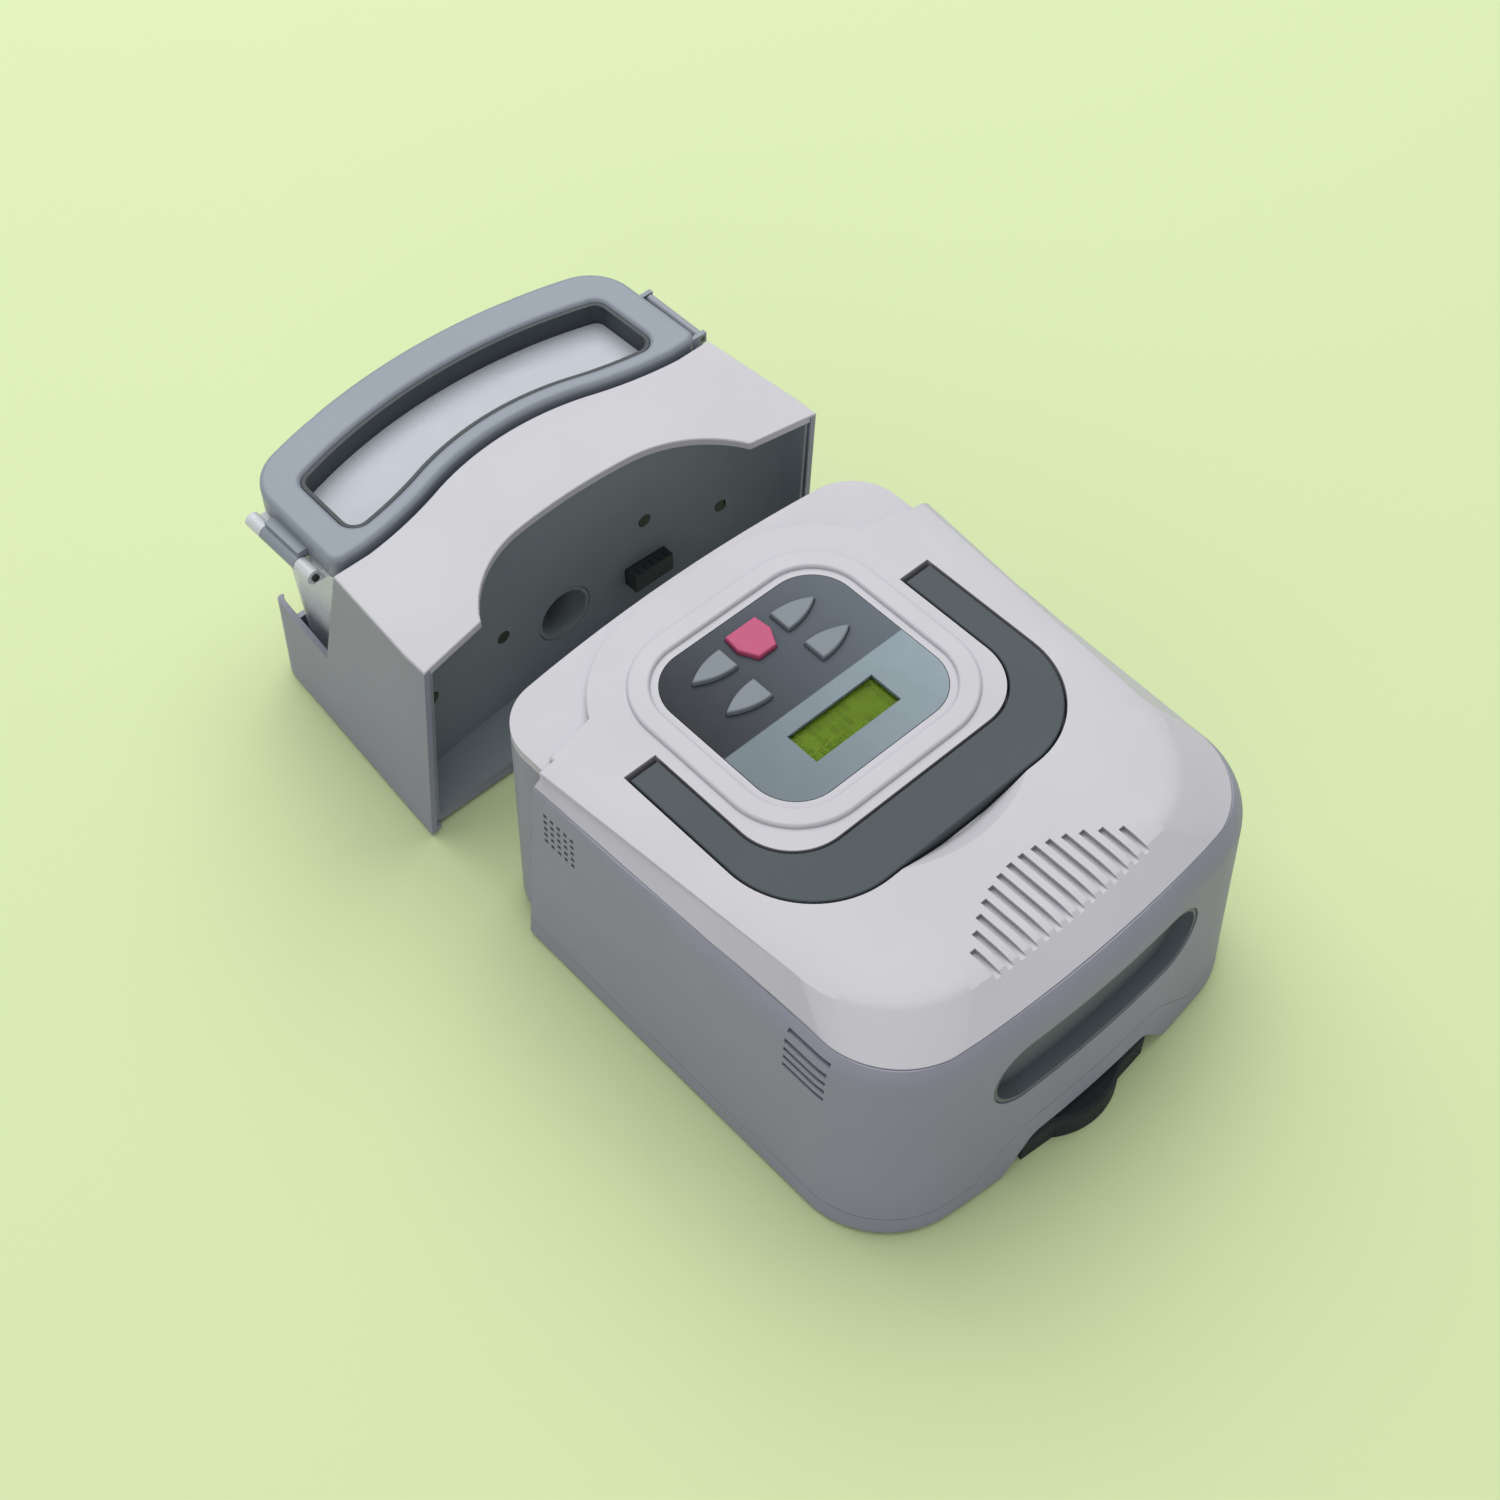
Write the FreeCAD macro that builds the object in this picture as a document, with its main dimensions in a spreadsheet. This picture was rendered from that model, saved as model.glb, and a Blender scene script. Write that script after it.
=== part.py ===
"""Bench-top CPAP machine with a docking heated humidifier.

Two modules stand one behind the other: the flow generator with its keypad, display, carrying
handle and blower, and the humidifier with its water chamber and hinged lid. Every shape is
drawn in the docked position, about the middle of the flow generator's base. Each sub-part's
Placement then moves its module to where it stands undocked, so that the origin lies under the
middle of the whole object. +X is the user's right, +Y points to the back, +Z is up. Millimetres.
"""
import FreeCAD, Part
import functools
import math
import os

V = FreeCAD.Vector
X_AXIS, Y_AXIS, Z_AXIS = V(1, 0, 0), V(0, 1, 0), V(0, 0, 1)

# name: (millimetres or degrees, what it is)
SIZES = {
    # stance of the two modules
    "dock_gap": (60, "distance between the modules when they stand apart"),
    "nose": (9, "front foot's nose ahead of the cover's front"),
    "lid_middle_depth": (76, "lid's rear edge in the middle, behind the wings"),
    "mesh_gap": (0.3, "gap between pieces that only sit next to each other"),
    "seat_gap": (0.2, "gap round pieces that are set into each other"),
    "slide_gap": (0.5, "gap round pieces that slide past each other"),
    "run_gap": (0.05, "radial clearance of a pin or shaft in its bore"),
    # flow generator housing
    "case_half_width": (96, "half width at the cover's edge"),
    "case_flare": (4, "how much wider each side is at the floor"),
    "case_front": (112.5, "front face from the middle, at the shoulder"),
    "case_lean": (4.5, "how much further forward the front face is at the floor"),
    "case_rear": (106, "rear wall from the middle"),
    "case_bow_front": (500, "plan radius of the front face"),
    "case_bow_rear": (650, "plan radius of the rear wall"),
    "case_corner_front": (38, "plan radius of the front corners"),
    "case_corner_rear": (22, "plan radius of the rear corners"),
    "case_bottom": (2, "underside above the floor"),
    "case_wall": (2.6, "wall thickness of the housings"),
    "deck_height": (105, "cover's flat border above the floor"),
    "dome_rise": (2, "raised plateau above the cover's border"),
    "dome_inset": (0.8, "plateau's edge inside the flat border"),
    "dome_round": (1.6, "radius of the plateau's edge"),
    "shoulder_side": (8, "radius of the cover's edge at the sides"),
    "shoulder_front": (19, "radius of the cover's edge at the front"),
    "cover_edge": (6, "cover's edge below its flat border"),
    "rim_height": (11, "joint between case and base shell"),
    "seam_gap": (0.25, "shadow gap at the housing's joints"),
    "lip_depth": (3, "cover's locating lip below its joint"),
    "lip_wall": (1.5, "thickness of the locating lip"),
    # docking step at the rear
    "ear_band": (5.2, "how far the rear sides step in for the humidifier's ears"),
    "ear_depth": (37.5, "front edge of the ears at the top, ahead of the rear wall"),
    "seam_lean": (9, "how much further back the ears' edge is at the floor"),
    "seam_knee_half": (66, "half width where the seam turns back"),
    "knee_depth": (32, "seam ahead of the rear wall at the knee"),
    "seam_crest_half": (27, "half width of the seam's flat crest"),
    "crest_depth": (6, "seam ahead of the rear wall at the crest's ends"),
    "seam_bulge": (1.5, "how much the crest bows to the rear"),
    "top_plate": (3.3, "thickness of the humidifier's white top"),
    "undercut_depth": (26, "front edge of the step under the rear, ahead of the rear wall"),
    "undercut_height": (8, "height of the step under the rear"),
    # front details
    "arch_half": (45, "half width of the front arch at the floor"),
    "arch_top_half": (29, "half width of the arch's flat top"),
    "arch_height": (18, "height of the front arch"),
    "arch_border": (12, "height of the base shell's rim over the arch"),
    "arch_depth": (28.5, "depth of the arch's niche"),
    "arch_bend": (8, "radius of the arch's upper corners"),
    "front_foot_height": (13, "height of the front foot"),
    "floor_slot": (3, "width of an air slot in the floor"),
    "floor_slot_length": (26, "length of an air slot in the floor"),
    "floor_slot_pitch": (8, "pitch of the air slots in the floor"),
    "floor_slot_start": (10, "front ends of the floor's air slots behind the arch's niche"),
    "recess_half": (51, "half length of the front recess"),
    "recess_half_height": (16, "half height of the front recess"),
    "recess_height": (68, "middle of the front recess above the floor"),
    "recess_depth": (6.5, "depth of the front recess"),
    "insert_rim": (1.8, "rim of the front insert round its hollow"),
    "insert_wall": (1.8, "thickness of the front insert"),
    "insert_sink": (0.4, "front insert's rim behind the face"),
    "insert_flange": (3, "flange of the front insert round its opening"),
    "grille_count": (14, "number of grille slits"),
    "grille_half": (36, "half width over the outer slits"),
    "grille_slit": (2.3, "width of a slit"),
    "grille_inset": (3, "front ends of the slits inside the plateau's front"),
    "grille_length": (23, "length of the middle slits"),
    "grille_sag": (15.5, "how much shorter the outer slits are"),
    "louvre_count": (5, "number of side louvre slots"),
    "louvre_pitch": (4.8, "pitch of the side louvre slots"),
    "louvre_slot": (2, "height of a side louvre slot"),
    "louvre_length": (19, "length of a side louvre slot"),
    "louvre_inset": (44.5, "middle of the louvre behind the cover's front"),
    "louvre_drop": (25, "lowest louvre slot below the joint"),
    "vent_count": (5, "rows and columns of small side holes"),
    "vent_pitch": (3.6, "pitch of the small side holes"),
    "vent_hole": (1.9, "width of a small side hole"),
    "vent_inset": (12.5, "middle of the small holes ahead of the ears"),
    "vent_drop": (25, "lowest row of small holes below the joint"),
    # handle
    "handle_half": (72.9, "half width over the handle's arms"),
    "handle_inner_half": (60.3, "half width between the arms"),
    "handle_front": (44, "handle's front edge from the middle"),
    "handle_inner_front": (21.8, "front grip's rear edge from the middle"),
    "handle_end": (44.2, "rear ends of the arms behind the middle"),
    "handle_thickness": (8, "thickness of the handle"),
    "handle_corner": (37, "outer plan radius of the handle"),
    "handle_inner_corner": (24, "inner plan radius of the handle"),
    "handle_gap": (0.9, "gap between the handle and its channel"),
    "hinge_inset": (4.5, "handle pin from the arm's end and from its top"),
    "hinge_sweep_gap": (0.45, "clearance round the arm's turning end"),
    "handle_pin": (1.5, "radius of the handle's pins"),
    "handle_pin_reach": (2.4, "how far a pin enters the cover on each side"),
    "scoop_half": (30, "half width of the finger scoop"),
    "handle_round": (0.8, "radius of the handle's edges"),
    "scoop_reach": (8, "how far the scoop reaches in front of the handle"),
    "scoop_depth": (4.5, "depth of the finger scoop"),
    # control panel
    "panel_half": (43, "half width of the control panel"),
    "panel_front": (5.5, "panel's front edge ahead of the middle"),
    "panel_rear": (74.5, "panel's rear edge behind the middle"),
    "panel_corner": (18, "plan radius of the panel's corners"),
    "panel_sheet": (1.6, "thickness of the panel plate"),
    "panel_lip": (4.5, "ledge that carries the panel plate"),
    "ring_inner": (3.2, "raised ring's inner edge outside the panel"),
    "ring_outer": (11.5, "raised ring's outer edge outside the panel"),
    "ring_rise": (1.6, "raised ring above the plateau"),
    "lcd_half": (20.5, "half width of the display's view"),
    "lcd_front": (6.6, "display view's front edge"),
    "lcd_rear": (21.5, "display view's rear edge"),
    "lcd_border": (2.5, "window's glued border round the view"),
    "lcd_glass": (1.0, "thickness of the display window"),
    "key_row_rear": (60.6, "rear pair of keys behind the middle"),
    "key_row_front": (42.5, "front pair of keys behind the middle"),
    "key_root": (12.4, "straight end of a leaf key from the centre line"),
    "key_tip": (29.8, "tip of a leaf key from the centre line"),
    "key_half": (4.9, "half width of a leaf key"),
    "key_rise": (2.1, "keys above the panel plate"),
    "key_round": (0.7, "radius of the keys' upper edges"),
    "key_gap": (0.35, "gap round a key"),
    "key_travel": (0.8, "travel of a key"),
    "power_half": (8, "half width of the power key"),
    "power_row": (61.3, "power key's middle behind the base's middle"),
    "key_flange": (1.1, "retaining flange round a key below the plate"),
    "key_stem": (1.8, "radius of a key's stem"),
    "board_drop": (10, "control board's underside below the panel"),
    "board_sheet": (1.6, "thickness of the circuit boards"),
    "switch_drop": (4.8, "key switches below the panel"),
    # blower
    "blower_x": (18, "blower's axis from the centre line"),
    "blower_y": (24, "blower's axis behind the middle"),
    "blower_radius": (36, "outer radius of the blower housing"),
    "blower_wall": (2.4, "wall of the blower housing"),
    "blower_base": (14, "blower's underside above the floor"),
    "scroll_base": (22, "underside of the blower's scroll above the floor"),
    "scroll_height": (28, "height of the blower's scroll"),
    "duct_gap": (40, "rear end of the blower's outlet duct ahead of the rear wall"),
    "mount_radius": (4, "radius of the blower's rubber mounts"),
    "mount_height": (4, "height of the blower's rubber mounts"),
    "filter_sheet": (6, "how far inside the case the filter's inner face lies"),
    "blower_eye": (14, "radius of the blower's inlet"),
    "motor_radius": (17, "radius of the motor"),
    "motor_shaft": (2, "radius of the motor shaft"),
    "impeller_radius": (29, "radius of the impeller"),
    "impeller_height": (12, "height of the impeller"),
    "blade_count": (9, "number of impeller blades"),
    # air path
    "port_x": (-6, "air port from the centre line"),
    "port_height": (36, "air port above the floor"),
    "port_radius": (11, "outer radius of the air ports"),
    "port_bore": (9, "bore of the air ports"),
    "port_reach": (17, "length of the flow generator's port behind its wall"),
    "spigot_step": (0.6, "how much slimmer the outlet tube is inside the case"),
    # power and signal sockets
    "jack_y": (40, "power socket behind the middle"),
    "jack_height": (27, "power socket above the floor"),
    "jack_bore": (3.25, "radius of the power socket's bore"),
    "jack_depth": (10, "depth of the power socket's bore"),
    "jack_wall": (2.2, "wall of the power socket"),
    "main_board_margin": (15.4, "main board's edge from the left wall"),
    "main_board_y": (0, "main board's middle behind the base's middle"),
    "main_board_length": (48, "width of the main board"),
    "main_board_width": (90, "depth of the main board"),
    "main_board_height": (13, "main board's underside above the floor"),
    "plug_x": (36, "docking plug from the centre line"),
    "plug_height": (34, "docking plug above the floor"),
    "plug_half": (10, "half width of the docking plug"),
    "plug_half_height": (4.5, "half height of the docking plug"),
    "plug_reach": (6, "how far the docking plug stands out"),
    # humidifier cradle
    "cradle_taper": (0.065, "how much each side narrows per millimetre to the rear"),
    "taper_depth": (26, "where the sides begin to narrow, ahead of the rear wall"),
    "shelf_gap": (1, "docking shelf behind the step's front edge"),
    "heel": (8, "slope under the tray's rear edge"),
    "tray_depth": (64, "tray's rear end behind the wings"),
    "cradle_round": (14, "plan radius of the tray's rear corners"),
    "liner_wall": (1.4, "thickness of the dark docking liner"),
    "skin_lip": (1.2, "visible edge of the white top"),
    "skin_round": (0.6, "radius of the white top's edges"),
    "hump_step": (0.5, "white top's overhang behind the chamber wall"),
    "dock_boss": (5, "depth of the docking face's screw bosses"),
    "dock_screw_length": (16, "length of the docking face's screw holes"),
    "socket_wall": (2, "wall of the air socket and its riser"),
    "socket_gap": (0.35, "radial clearance of the air port in its socket"),
    "inlet_drop": (20.6, "water chamber's air inlet below its rim"),
    "humidifier_board_height": (12, "humidifier's circuit board above the floor"),
    "bridge_depth": (22, "white top's rear edge at the wings, behind the rear wall"),
    "wing_half": (76, "half width where the rear edge starts to bow"),
    "hump_half": (36, "half width of the rear edge's bow"),
    "hump_side": (9, "bow's ends behind the wings"),
    "hump_rise": (14.5, "bow's crest behind the wings"),
    "tray_front_height": (44, "tray's side wall at its front end"),
    "tray_height": (46, "tray's side wall towards the rear"),
    "tray_lip": (20, "tray's rear lip above the floor"),
    "tray_lean": (18, "how far the side wall's rear edge leans back"),
    "shelf_top": (7.2, "docking shelf above the floor"),
    "chamber_wall_sheet": (2.4, "wall between electronics and water chamber"),
    # heater and water chamber
    "heater_top": (22, "heater plate's top above the floor"),
    "heater_sheet": (3.5, "thickness of the heater plate"),
    "heater_half": (60, "half width of the heater plate"),
    "heater_start": (20, "heater plate's front edge behind the wings"),
    "heater_length": (36, "depth of the heater plate"),
    "heater_round": (10, "plan radius of the heater plate's corners"),
    "gasket_sheet": (2, "thickness of the heater's gasket"),
    "tub_seat": (0.1, "water chamber's foot above the heater plate"),
    "tub_plate_inset": (4, "chamber's metal foot inside the heater's edge"),
    "tub_wall": (2, "wall of the water chamber"),
    "tub_inset": (3, "chamber's wall inside the lid's edge"),
    "tub_draft": (3, "how much narrower the chamber is at its foot, each side"),
    "tub_rim": (3, "thickness of the chamber's rim"),
    "lid_seat": (1.4, "gap for the skirt's flange between the lid and the chamber's rim"),
    "tub_plate": (1.2, "thickness of the chamber's metal foot"),
    "lid_margin": (6, "lid's end inside the cover's edge"),
    "lid_taper": (1, "how much narrower each side is at the rear"),
    "lid_gap": (3, "shadow gap between the white top and the lid"),
    "lid_round": (2.5, "radius of the lid frame's upper edges"),
    "lid_corner": (22, "plan radius of the lid's rear corners"),
    "lid_side_depth": (65, "lid's rear edge near its corners, behind the wings"),
    "lid_depth": (9.5, "depth of the lid frame"),
    "lid_rise": (2.5, "lid frame's top above the machine's top"),
    "lid_border_rear": (17, "width of the lid frame at the rear"),
    "lid_border_side": (14, "width of the lid frame at its ends"),
    "lid_border_front": (7.6, "width of the lid frame at the front"),
    "window_drop": (13, "lid window's underside below the lid's top"),
    "window_sheet": (2, "thickness of the lid window"),
    "skirt_wall": (1.6, "thickness of the dark skirt round the window"),
    "skirt_ledge": (2, "ledge of the skirt that carries the window"),
    "window_corner": (7, "plan radius of the window's front corners"),
    "lid_nose": (5, "plan radius of the lid's front corners"),
    "skirt_drop": (1.5, "skirt's upper edge below the lid frame's top"),
    "hinge_reach": (3.7, "lid hinge outside the lid's end"),
    "hinge_drop": (1.2, "lid hinge below the chamber's rim"),
    "lid_pin": (1.5, "radius of the lid's hinge pin"),
    "knuckle": (3.2, "radius of the hinge knuckles"),
    "hinge_start": (12, "front end of the lid hinge behind the wings"),
    "hinge_length": (40, "length of the lid hinge"),
    "knuckle_length": (9, "length of each outer hinge knuckle"),
    "latch_start": (6, "latch's front end behind the wings"),
    "latch_length": (30, "length of the latch"),
    "latch_sheet": (4, "thickness of the latch"),
    "latch_ear": (2, "thickness of the ears beside the latch"),
    "latch_grip": (3.5, "latch's foot below the chamber's rim"),
    "latch_pin": (1.2, "radius of the latch pin"),
    "hose_port_depth": (32, "hose port's axis behind the wings"),
    "hose_port_height": (64, "hose port's axis above the floor"),
    "hose_port_reach": (9.5, "hose port's end outside the lid's end"),
    "collar_width": (2.5, "collar round the root of the hose port"),
    "collar_inset": (3.6, "collar's face inside the lid's end"),
    # feet and screws
    "foot_radius": (7, "radius of the rubber feet"),
    "foot_inset": (24, "rubber feet inside the cover's edge"),
    "foot_front": (62, "front feet ahead of the middle"),
    "foot_rear": (62, "rear feet behind the middle"),
    "cradle_foot_front": (10, "cradle's front feet ahead of the wings' rear edge"),
    "cradle_foot_rear": (16, "cradle's rear feet ahead of the tray's rear end"),
    "screw_shank": (1.5, "radius of the screws"),
    "screw_head": (2.8, "radius of the screw heads"),
    "screw_sink": (1.4, "height of the screw heads"),
    "post_radius": (3.2, "radius of the posts under boards and blower"),
    "case_post": (14, "height of the case's screw posts"),
}

# places and heights that follow from the sizes, each a chain of them
CHAINS = {
    "top": "deck_height + dome_rise",
    "split_height": "deck_height - cover_edge",
    "board_height": "top - board_drop",
    "board_top": "board_height + board_sheet",
    "switch_top": "top - switch_drop",
    "panel_under": "top - panel_sheet",
    "glass_under": "panel_under - lcd_glass",
    "louvre_base": "split_height - louvre_drop",
    "vent_base": "split_height - vent_drop",
    "lid_top": "top + lid_rise",
    "lid_bottom": "lid_top - lid_depth",
    "tub_rim_top": "lid_bottom - lid_seat",
    "window_height": "lid_top - window_drop",
    "lid_axis_height": "tub_rim_top - hinge_drop",
    "inlet_height": "tub_rim_top - inlet_drop",
    "tub_foot": "heater_top + tub_seat",
    "heater_under": "heater_top - heater_sheet",
    "gasket_under": "heater_under - gasket_sheet",
    "lid_half": "case_half_width - lid_margin",
    "lid_axis_x": "lid_half + hinge_reach",
    "hose_port_end": "lid_half + hose_port_reach",
    "foot_x": "case_half_width - foot_inset",
    "front_reach": "case_front + nose",
    "louvre_middle": "case_front - louvre_inset",
    "arch_back": "case_front - arch_depth",
    "grille_front": "case_front - shoulder_front - grille_inset",
    "grille_arc": "grille_front - grille_length",
    "seam_side": "case_rear - ear_depth",
    "vent_middle": "seam_side - vent_inset",
    "seam_knee": "case_rear - knee_depth",
    "seam_crest": "case_rear - crest_depth",
    "undercut_start": "case_rear - undercut_depth",
    "shelf_front": "undercut_start + shelf_gap",
    "taper_start": "case_rear - taper_depth",
    "duct_end": "case_rear - duct_gap",
    "wing_rear": "case_rear + bridge_depth",
    "hump_start": "wing_rear + hump_side",
    "hump_crest": "wing_rear + hump_rise",
    "cradle_rear": "wing_rear + tray_depth",
    "lid_shoulder": "wing_rear + lid_side_depth",
    "rear_reach": "wing_rear + lid_middle_depth",
    "heater_front": "wing_rear + heater_start",
    "heater_rear": "heater_front + heater_length",
    "front_foot_row": "wing_rear - cradle_foot_front",
    "rear_foot_row": "cradle_rear - cradle_foot_rear",
    "hinge_front": "wing_rear + hinge_start",
    "latch_front": "wing_rear + latch_start",
    "hose_port_y": "wing_rear + hose_port_depth",
}

doc = FreeCAD.newDocument("cpap_machine")
sheet = doc.addObject("Spreadsheet::Sheet", "Sizes")
for row, (size_name, (size_value, size_note)) in enumerate(SIZES.items(), 1):
    sheet.set(f"A{row}", size_name)
    sheet.set(f"B{row}", str(size_value))
    sheet.set(f"C{row}", size_note)
    sheet.setAlias(f"B{row}", size_name)
doc.recompute()



def formula(name):
    """Expression for a size or a chain, spelled out in the sheet's cells."""
    if name not in CHAINS:
        return "Sizes." + name
    words = [word if word in "+-" else formula(word) for word in CHAINS[name].split()]
    return "(" + " ".join(words) + ")"


MAIN_Y = f"({formula('front_reach')} - {formula('rear_reach')} - Sizes.dock_gap) / 2"
HUMIDIFIER_Y = MAIN_Y + " + Sizes.dock_gap"

parts = []


class Sizes:
    """Reads a size from the sheet by its alias, or adds up a chain of them."""

    def __getattr__(self, name):
        if name not in CHAINS:
            return float(sheet.get(name))
        total, sign = 0.0, 1
        for word in CHAINS[name].split():
            if word in "+-":
                sign = 1 if word == "+" else -1
            else:
                total += sign * getattr(self, word)
        return total


s = Sizes()


# ---------------------------------------------------------------- document helpers

def bind(obj, **expressions):
    """Ties properties of obj to the sheet; x, y and z stand for its position."""
    for name, expression in expressions.items():
        path = f".Placement.Base.{name}" if name in ("x", "y", "z") else name
        obj.setExpression(path, expression)
    return obj


def keep(obj, label, place):
    """Names obj as a sub-part and moves it to where its module stands."""
    doc.recompute()
    obj.Label = label
    bind(obj, y=place)
    parts.append(obj)
    return obj


def solid(shape, name="Form"):
    """A document object that holds a shape worked out from the sheet."""
    feature = doc.addObject("Part::Feature", name)
    feature.Shape = shape
    return feature


def keep_shape(shape, label, place, tidy=True):
    """Names a worked-out shape as a sub-part."""
    feature = solid(shape.removeSplitter() if tidy else shape, label)
    feature.Label = label
    bind(feature, y=place)
    parts.append(feature)
    return feature


def cylinder(radius, height, x="0", y="0", z="0", axis=None):
    """Part::Cylinder whose sizes and place are expressions."""
    obj = doc.addObject("Part::Cylinder", "Cylinder")
    bind(obj, Radius=radius, Height=height, x=x, y=y, z=z)
    if axis is not None:
        obj.Placement.Rotation = FreeCAD.Rotation(Z_AXIS, axis)
    return obj


def box(length, width, height, x, y, z):
    """Part::Box centred on x and y and standing on z, all expressions."""
    obj = doc.addObject("Part::Box", "Box")
    return bind(obj, Length=length, Width=width, Height=height,
                x=f"{x} - ({length}) / 2", y=f"{y} - ({width}) / 2", z=z)


def cut(base, *tools):
    """Base less all the tools."""
    obj = doc.addObject("Part::Cut", "Cut")
    obj.Base = base
    obj.Tool = tools[0] if len(tools) == 1 else fuse(*tools)
    return obj


def fuse(*shapes):
    """All the shapes as one."""
    obj = doc.addObject("Part::MultiFuse", "Fuse")
    obj.Shapes = list(shapes)
    return obj


def compound(*shapes):
    """Separate solids kept as one group."""
    obj = doc.addObject("Part::Compound", "Group")
    obj.Links = list(shapes)
    return obj


def origin_plane(body, role):
    """One of a body's own origin planes."""
    return next(f for f in body.Origin.OriginFeatures if f.Role == role)


def body_sketch(body, role, edges):
    """Sketch on one of the body's origin planes, made of the given edges."""
    sketch = body.newObject("Sketcher::SketchObject", "Sketch")
    sketch.AttachmentSupport = [(origin_plane(body, role), "")]
    sketch.MapMode = "FlatFace"
    for edge in edges:
        sketch.addGeometry(edge, False)
    return sketch


def revolved(label, profile):
    """PartDesign body turned about Z from an r-z profile drawn on the XZ plane."""
    body = doc.addObject("PartDesign::Body", label)
    points = [V(r, z, 0) for r, z in profile]
    lines = [Part.LineSegment(a, b) for a, b in zip(points, points[1:] + points[:1])]
    sketch = body_sketch(body, "XZ_Plane", lines)
    turn = body.newObject("PartDesign::Revolution", "Turn")
    turn.Profile = sketch
    turn.ReferenceAxis = (sketch, ["V_Axis"])
    turn.Angle = 360
    return body


# ---------------------------------------------------------------- plan outlines

def edge_wire(points, height):
    """Closed wire from (x, y) points; a third entry marks the point as an arc's middle."""
    edges = []
    i = 0
    while i < len(points):
        start = points[i]
        after = points[(i + 1) % len(points)]
        a = V(start[0], start[1], height)
        if len(after) == 3:
            end = points[(i + 2) % len(points)]
            edges.append(Part.Arc(a, V(after[0], after[1], height),
                                  V(end[0], end[1], height)).toShape())
            i += 2
        else:
            edges.append(Part.makeLine(a, V(after[0], after[1], height)))
            i += 1
    return Part.Wire(edges)


def mirrored(points):
    """Points of the right half followed by their mirror image, for a closed outline."""
    return points + [(-p[0],) + tuple(p[1:]) for p in reversed(points)]


def prism(points, bottom, top):
    """Upright solid over an outline."""
    return Part.Face(edge_wire(points, bottom)).extrude(V(0, 0, top - bottom))


def bowed_corner(half, reach, bow, radius):
    """Corner arc between a straight side and a bowed end: (start y, middle, end)."""
    bow_centre = bow - reach
    y = bow_centre - math.sqrt((bow - radius) ** 2 - (half - radius) ** 2)
    angle = math.atan2(y - bow_centre, half - radius)
    end = (bow * math.cos(angle), bow_centre + bow * math.sin(angle))
    middle = (half - radius + radius * math.cos(angle / 2), y + radius * math.sin(angle / 2))
    return y, middle, end


def case_points(half, front, rear, corner_front, corner_rear):
    """Plan outline of the housing: straight sides, bowed front and rear."""
    y_front, mid_front, end_front = bowed_corner(half, front, s.case_bow_front, corner_front)
    y_rear, mid_rear, end_rear = bowed_corner(half, rear, s.case_bow_rear, corner_rear)
    return [(-end_front[0], end_front[1]), (0, -front, "mid"), end_front,
            (*mid_front, "mid"), (half, y_front), (half, -y_rear),
            (mid_rear[0], -mid_rear[1], "mid"), (end_rear[0], -end_rear[1]),
            (0, rear, "mid"), (-end_rear[0], -end_rear[1]),
            (-mid_rear[0], -mid_rear[1], "mid"), (-half, -y_rear), (-half, y_front),
            (-mid_front[0], mid_front[1], "mid")]


def case_wire(half, front, rear, corner_front, corner_rear, height):
    """Housing outline as a wire."""
    return edge_wire(case_points(half, front, rear, corner_front, corner_rear), height)


def seam_edge(shift):
    """Plan curve where the humidifier's top meets the cover, moved back by shift."""
    knee = (s.seam_knee_half, s.seam_knee + shift)
    crest = (s.seam_crest_half, s.seam_crest + shift)
    bend_x = s.seam_crest_half + 0.64 * (s.seam_knee_half - s.seam_crest_half)
    bend_y = s.seam_knee + 0.62 * (s.seam_crest - s.seam_knee)
    return [(s.case_half_width + s.case_flare, s.seam_side - 0.6 + shift), knee,
            (bend_x, bend_y + shift, "mid"), crest,
            (0, s.seam_crest + s.seam_bulge + shift, "mid"), (-crest[0], crest[1]),
            (-bend_x, bend_y + shift, "mid"), (-knee[0], knee[1]),
            (-s.case_half_width - s.case_flare, s.seam_side - 0.6 + shift)]


def hump_edge(half, shift):
    """Plan curve of the white top's rear edge, moved back by shift, right to left."""
    wing = s.wing_rear + shift
    blend_x = (s.wing_half + s.hump_half) / 2
    blend_y = s.wing_rear + 0.36 * (s.hump_start - s.wing_rear) + shift
    return [(half, wing), (s.wing_half, wing), (blend_x, blend_y, "mid"),
            (s.hump_half, s.hump_start + shift), (0, s.hump_crest + shift, "mid"),
            (-s.hump_half, s.hump_start + shift), (-blend_x, blend_y, "mid"),
            (-s.wing_half, wing), (-half, wing)]


# ---------------------------------------------------------------- housing forms

def rounded_loft(lower, upper, height, side_radius, front_radius):
    """Housing between two outlines, with its top edge rounded more at the front."""
    form = Part.makeLoft([lower, upper], True, True)
    body = solid(form, "Blank")
    fillet = doc.addObject("Part::Fillet", "Rounded")
    fillet.Base = body
    half = max(v.Point.x for v in upper.Vertexes)
    front_line = -s.case_front / 2

    def radius(point):
        return front_radius if point.y < front_line else side_radius

    chosen = []
    for number, edge in enumerate(form.Edges, 1):
        if edge.BoundBox.ZMin > height - 0.01 and half > 0:
            ends = edge.valueAt(edge.FirstParameter), edge.valueAt(edge.LastParameter)
            chosen.append((number, radius(ends[0]), radius(ends[1])))
    fillet.Edges = chosen
    doc.recompute()
    return fillet.Shape


def case_form(inset, top):
    """Flow generator's full-width form, inset by a wall thickness, up to top."""
    half = s.case_half_width - inset
    front = s.case_front - inset
    rear = s.case_rear - inset
    corners = s.case_corner_front - inset, s.case_corner_rear - inset
    lower = case_wire(half + s.case_flare, front + s.case_lean, rear, *corners, 0)
    upper = case_wire(half, front, rear, *corners, top)
    return rounded_loft(lower, upper, top, max(s.shoulder_side - inset, 0.5),
                        max(s.shoulder_front - inset, 0.5))


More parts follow.
